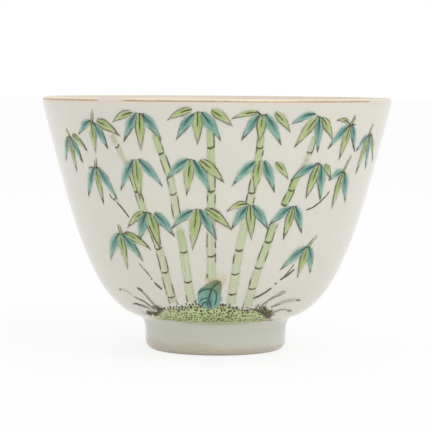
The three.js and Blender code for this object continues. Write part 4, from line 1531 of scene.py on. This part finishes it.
class TEACUP_OT_paint_grass(bpy.types.Operator):
    """Paint the tufts of grass and scrub at the ends of the mound"""

    bl_idname = "teacup.paint_grass"
    bl_label = "Paint grass"

    INKS = ("slate", "brown", "pale", "red", "scrub")
    SEED = 71
    BLEED = 1.5
    ROOT_STRAY = ((-1.2, 1.2), (-1, 0.9))
    TIP_STRAY = ((-1.8, 1.8), (-0.5, 0.9))
    SCRUB_LENGTHS = (0.5, 1.3)
    SCRUB_WIDTHS = (0.18, 0.32)
    SCRUB_LIFT = 1.5

    def execute(self, context):
        colours = context.scene.teacup_colours
        wall = Wall(context.scene.teacup_sizes)
        rng = random.Random(self.SEED)
        finishes = (
            ink_finish("Slate ink", colours.slate, colours.pale_grass, 0.85, 0.32),
            ink_finish("Brown ink", colours.brown, colours.thin_ink, 0.88, 0.36),
            ink_finish("Pale ink", colours.pale_grass, colours.jade_tip, 0.38),
            ink_finish("Iron ink", colours.iron, colours.thin_ink, 0.5),
            ink_finish("Scrub ink", colours.scrub, colours.thin_scrub, 0.84, 0.4),
        )
        for node, tuft in GRASS.items():
            painting = Painting(wall)
            for order, (tint, breadth, *places) in enumerate(tuft["blades"]):
                width = self.BLEED * breadth * MM
                coat = GRASS_COAT + INK_COAT * order / len(tuft["blades"])
                painting.line(spline(places), width, coat, self.INKS.index(tint), rng.random(), steps=14)
            edge = spline(tuft["edge"])
            lean = Vector(tuft["lean"])
            for _ in range(tuft["growth"]):
                root = edge(rng.random()) + self.stray(rng, self.ROOT_STRAY)
                tip = root + lean * rng.uniform(*self.SCRUB_LENGTHS) + self.stray(rng, self.TIP_STRAY)
                width = rng.uniform(*self.SCRUB_WIDTHS) * MM
                coat = GRASS_COAT + self.SCRUB_LIFT * INK_COAT
                slot = self.INKS.index("scrub")
                painting.line(spline((root, tip)), width, coat, slot, rng.random(), steps=5)
            settle(painting.piece(node.replace("grass", "grass_tuft")), node, "grass_enamel", *finishes)
        return {"FINISHED"}

    def stray(self, rng, spans):
        """Random step of degrees and percent."""
        return Vector([rng.uniform(*span) for span in spans])


class TEACUP_OT_set_stage(bpy.types.Operator):
    """Set the floor, the light and the camera"""

    bl_idname = "teacup.set_stage"
    bl_label = "Set stage"

    WHITE = (1, 1, 1, 1)
    FLOOR_WHITE = (0.98, 0.98, 0.98, 1)
    FLOOR_RADIUS = 6
    FLOOR_SIDES = 96
    FLOOR_GLOW = 0.8
    LAMP_PLACE = (0.5, -0.62, 0.9)
    LAMP_AIM = (0, 0, 0.03)
    LAMP_SIZE = 0.9
    SENSOR_WIDTH = 36
    NEAREST = 0.01

    def execute(self, context):
        stage = context.scene.teacup_stage
        self.floor()
        self.sky(context.scene, stage)
        self.lamp(context.scene, stage)
        self.camera(context.scene, stage)
        context.scene.view_settings.view_transform = "Standard"
        return {"FINISHED"}

    def seen(self, tree):
        """1 where the camera sees a thing, directly or in gloss or glass."""
        rays = add(tree, "LightPath").outputs
        direct = maths(tree, "MAXIMUM", rays["Is Camera Ray"], rays["Is Glossy Ray"])
        return maths(tree, "MAXIMUM", direct, rays["Is Transmission Ray"])

    def floor(self):
        mesh = bmesh.new()
        bmesh.ops.create_circle(mesh, cap_ends=True, segments=self.FLOOR_SIDES, radius=self.FLOOR_RADIUS)
        floor = piece_from(mesh, "floor")
        material, tree, shader = new_material("White sweep")
        wire(tree, shader, {"Base Color": self.FLOOR_WHITE, "Roughness": 0.9})
        white = add(tree, "Emission", {"Color": self.WHITE, "Strength": 1.0}).outputs[0]
        shown = maths(tree, "MULTIPLY", self.seen(tree), self.FLOOR_GLOW)
        lit = tree.nodes["Principled BSDF"].outputs[0]
        mixed = add(tree, "MixShader", {0: shown, 1: lit, 2: white}).outputs[0]
        tree.links.new(mixed, tree.nodes["Material Output"].inputs["Surface"])
        floor.data.materials.append(material)

    def sky(self, scene, stage):
        world = bpy.data.worlds.new("Even sky")
        world.use_nodes = True
        tree = world.node_tree
        values = {"Value": self.seen(tree), "To Min": stage.sky, "To Max": 1.0}
        strength = add(tree, "MapRange", values).outputs[0]
        wire(tree, tree.nodes["Background"].inputs, {"Color": self.WHITE, "Strength": strength})
        scene.world = world

    def lamp(self, scene, stage):
        light = bpy.data.lights.new("key_lamp", "AREA")
        light.shape = "DISK"
        light.size = self.LAMP_SIZE
        light.energy = stage.key
        lamp = bpy.data.objects.new("key_lamp", light)
        lamp.location = self.LAMP_PLACE
        aim = Vector(self.LAMP_AIM) - Vector(self.LAMP_PLACE)
        lamp.rotation_euler = aim.to_track_quat("-Z", "Y").to_euler()
        scene.collection.objects.link(lamp)

    def camera(self, scene, stage):
        lens = bpy.data.cameras.new("photo_camera")
        lens.lens = stage.lens
        lens.sensor_width = self.SENSOR_WIDTH
        lens.shift_x = stage.shift
        lens.clip_start = self.NEAREST
        camera = bpy.data.objects.new("photo_camera", lens)
        camera.location = (0, -stage.distance, stage.height)
        level = Matrix.Rotation(math.pi / 2 - stage.pitch, 4, "X")
        camera.rotation_euler = (level @ Matrix.Rotation(stage.roll, 4, "Z")).to_euler()
        scene.collection.objects.link(camera)
        scene.camera = camera


GROUPS = {"teacup_sizes": TeacupSizes, "teacup_colours": TeacupColours, "teacup_stage": TeacupStage}
OPERATORS = (
    TEACUP_OT_turn_body,
    TEACUP_OT_glaze,
    TEACUP_OT_gild_lip,
    TEACUP_OT_paint_mound,
    TEACUP_OT_paint_culms,
    TEACUP_OT_paint_sprays,
    TEACUP_OT_paint_twigs,
    TEACUP_OT_paint_broad_leaf,
    TEACUP_OT_paint_grass,
    TEACUP_OT_set_stage,
)


class TEACUP_PT_panel(bpy.types.Panel):
    """Sizes, colours and steps of the teacup"""

    bl_idname = "TEACUP_PT_panel"
    bl_label = "Teacup"
    bl_space_type = "VIEW_3D"
    bl_region_type = "UI"
    bl_category = "Teacup"

    def draw(self, context):
        for name, group in GROUPS.items():
            box = self.layout.box()
            for setting in group.__annotations__:
                box.prop(getattr(context.scene, name), setting)
        for operator in OPERATORS:
            self.layout.operator(operator.bl_idname)


def register():
    for item in (*GROUPS.values(), *OPERATORS, TEACUP_PT_panel):
        bpy.utils.register_class(item)
    for name, group in GROUPS.items():
        setattr(bpy.types.Scene, name, PointerProperty(type=group))


def unregister():
    for name in GROUPS:
        delattr(bpy.types.Scene, name)
    for item in (TEACUP_PT_panel, *OPERATORS[::-1], *GROUPS.values()):
        bpy.utils.unregister_class(item)


def main():
    register()
    bpy.ops.teacup.turn_body()
    bpy.ops.teacup.glaze()
    bpy.ops.teacup.gild_lip()
    bpy.ops.teacup.paint_mound()
    bpy.ops.teacup.paint_culms()
    bpy.ops.teacup.paint_sprays()
    bpy.ops.teacup.paint_twigs()
    bpy.ops.teacup.paint_broad_leaf()
    bpy.ops.teacup.paint_grass()
    bpy.ops.teacup.set_stage()


if __name__ == "__main__":
    main()
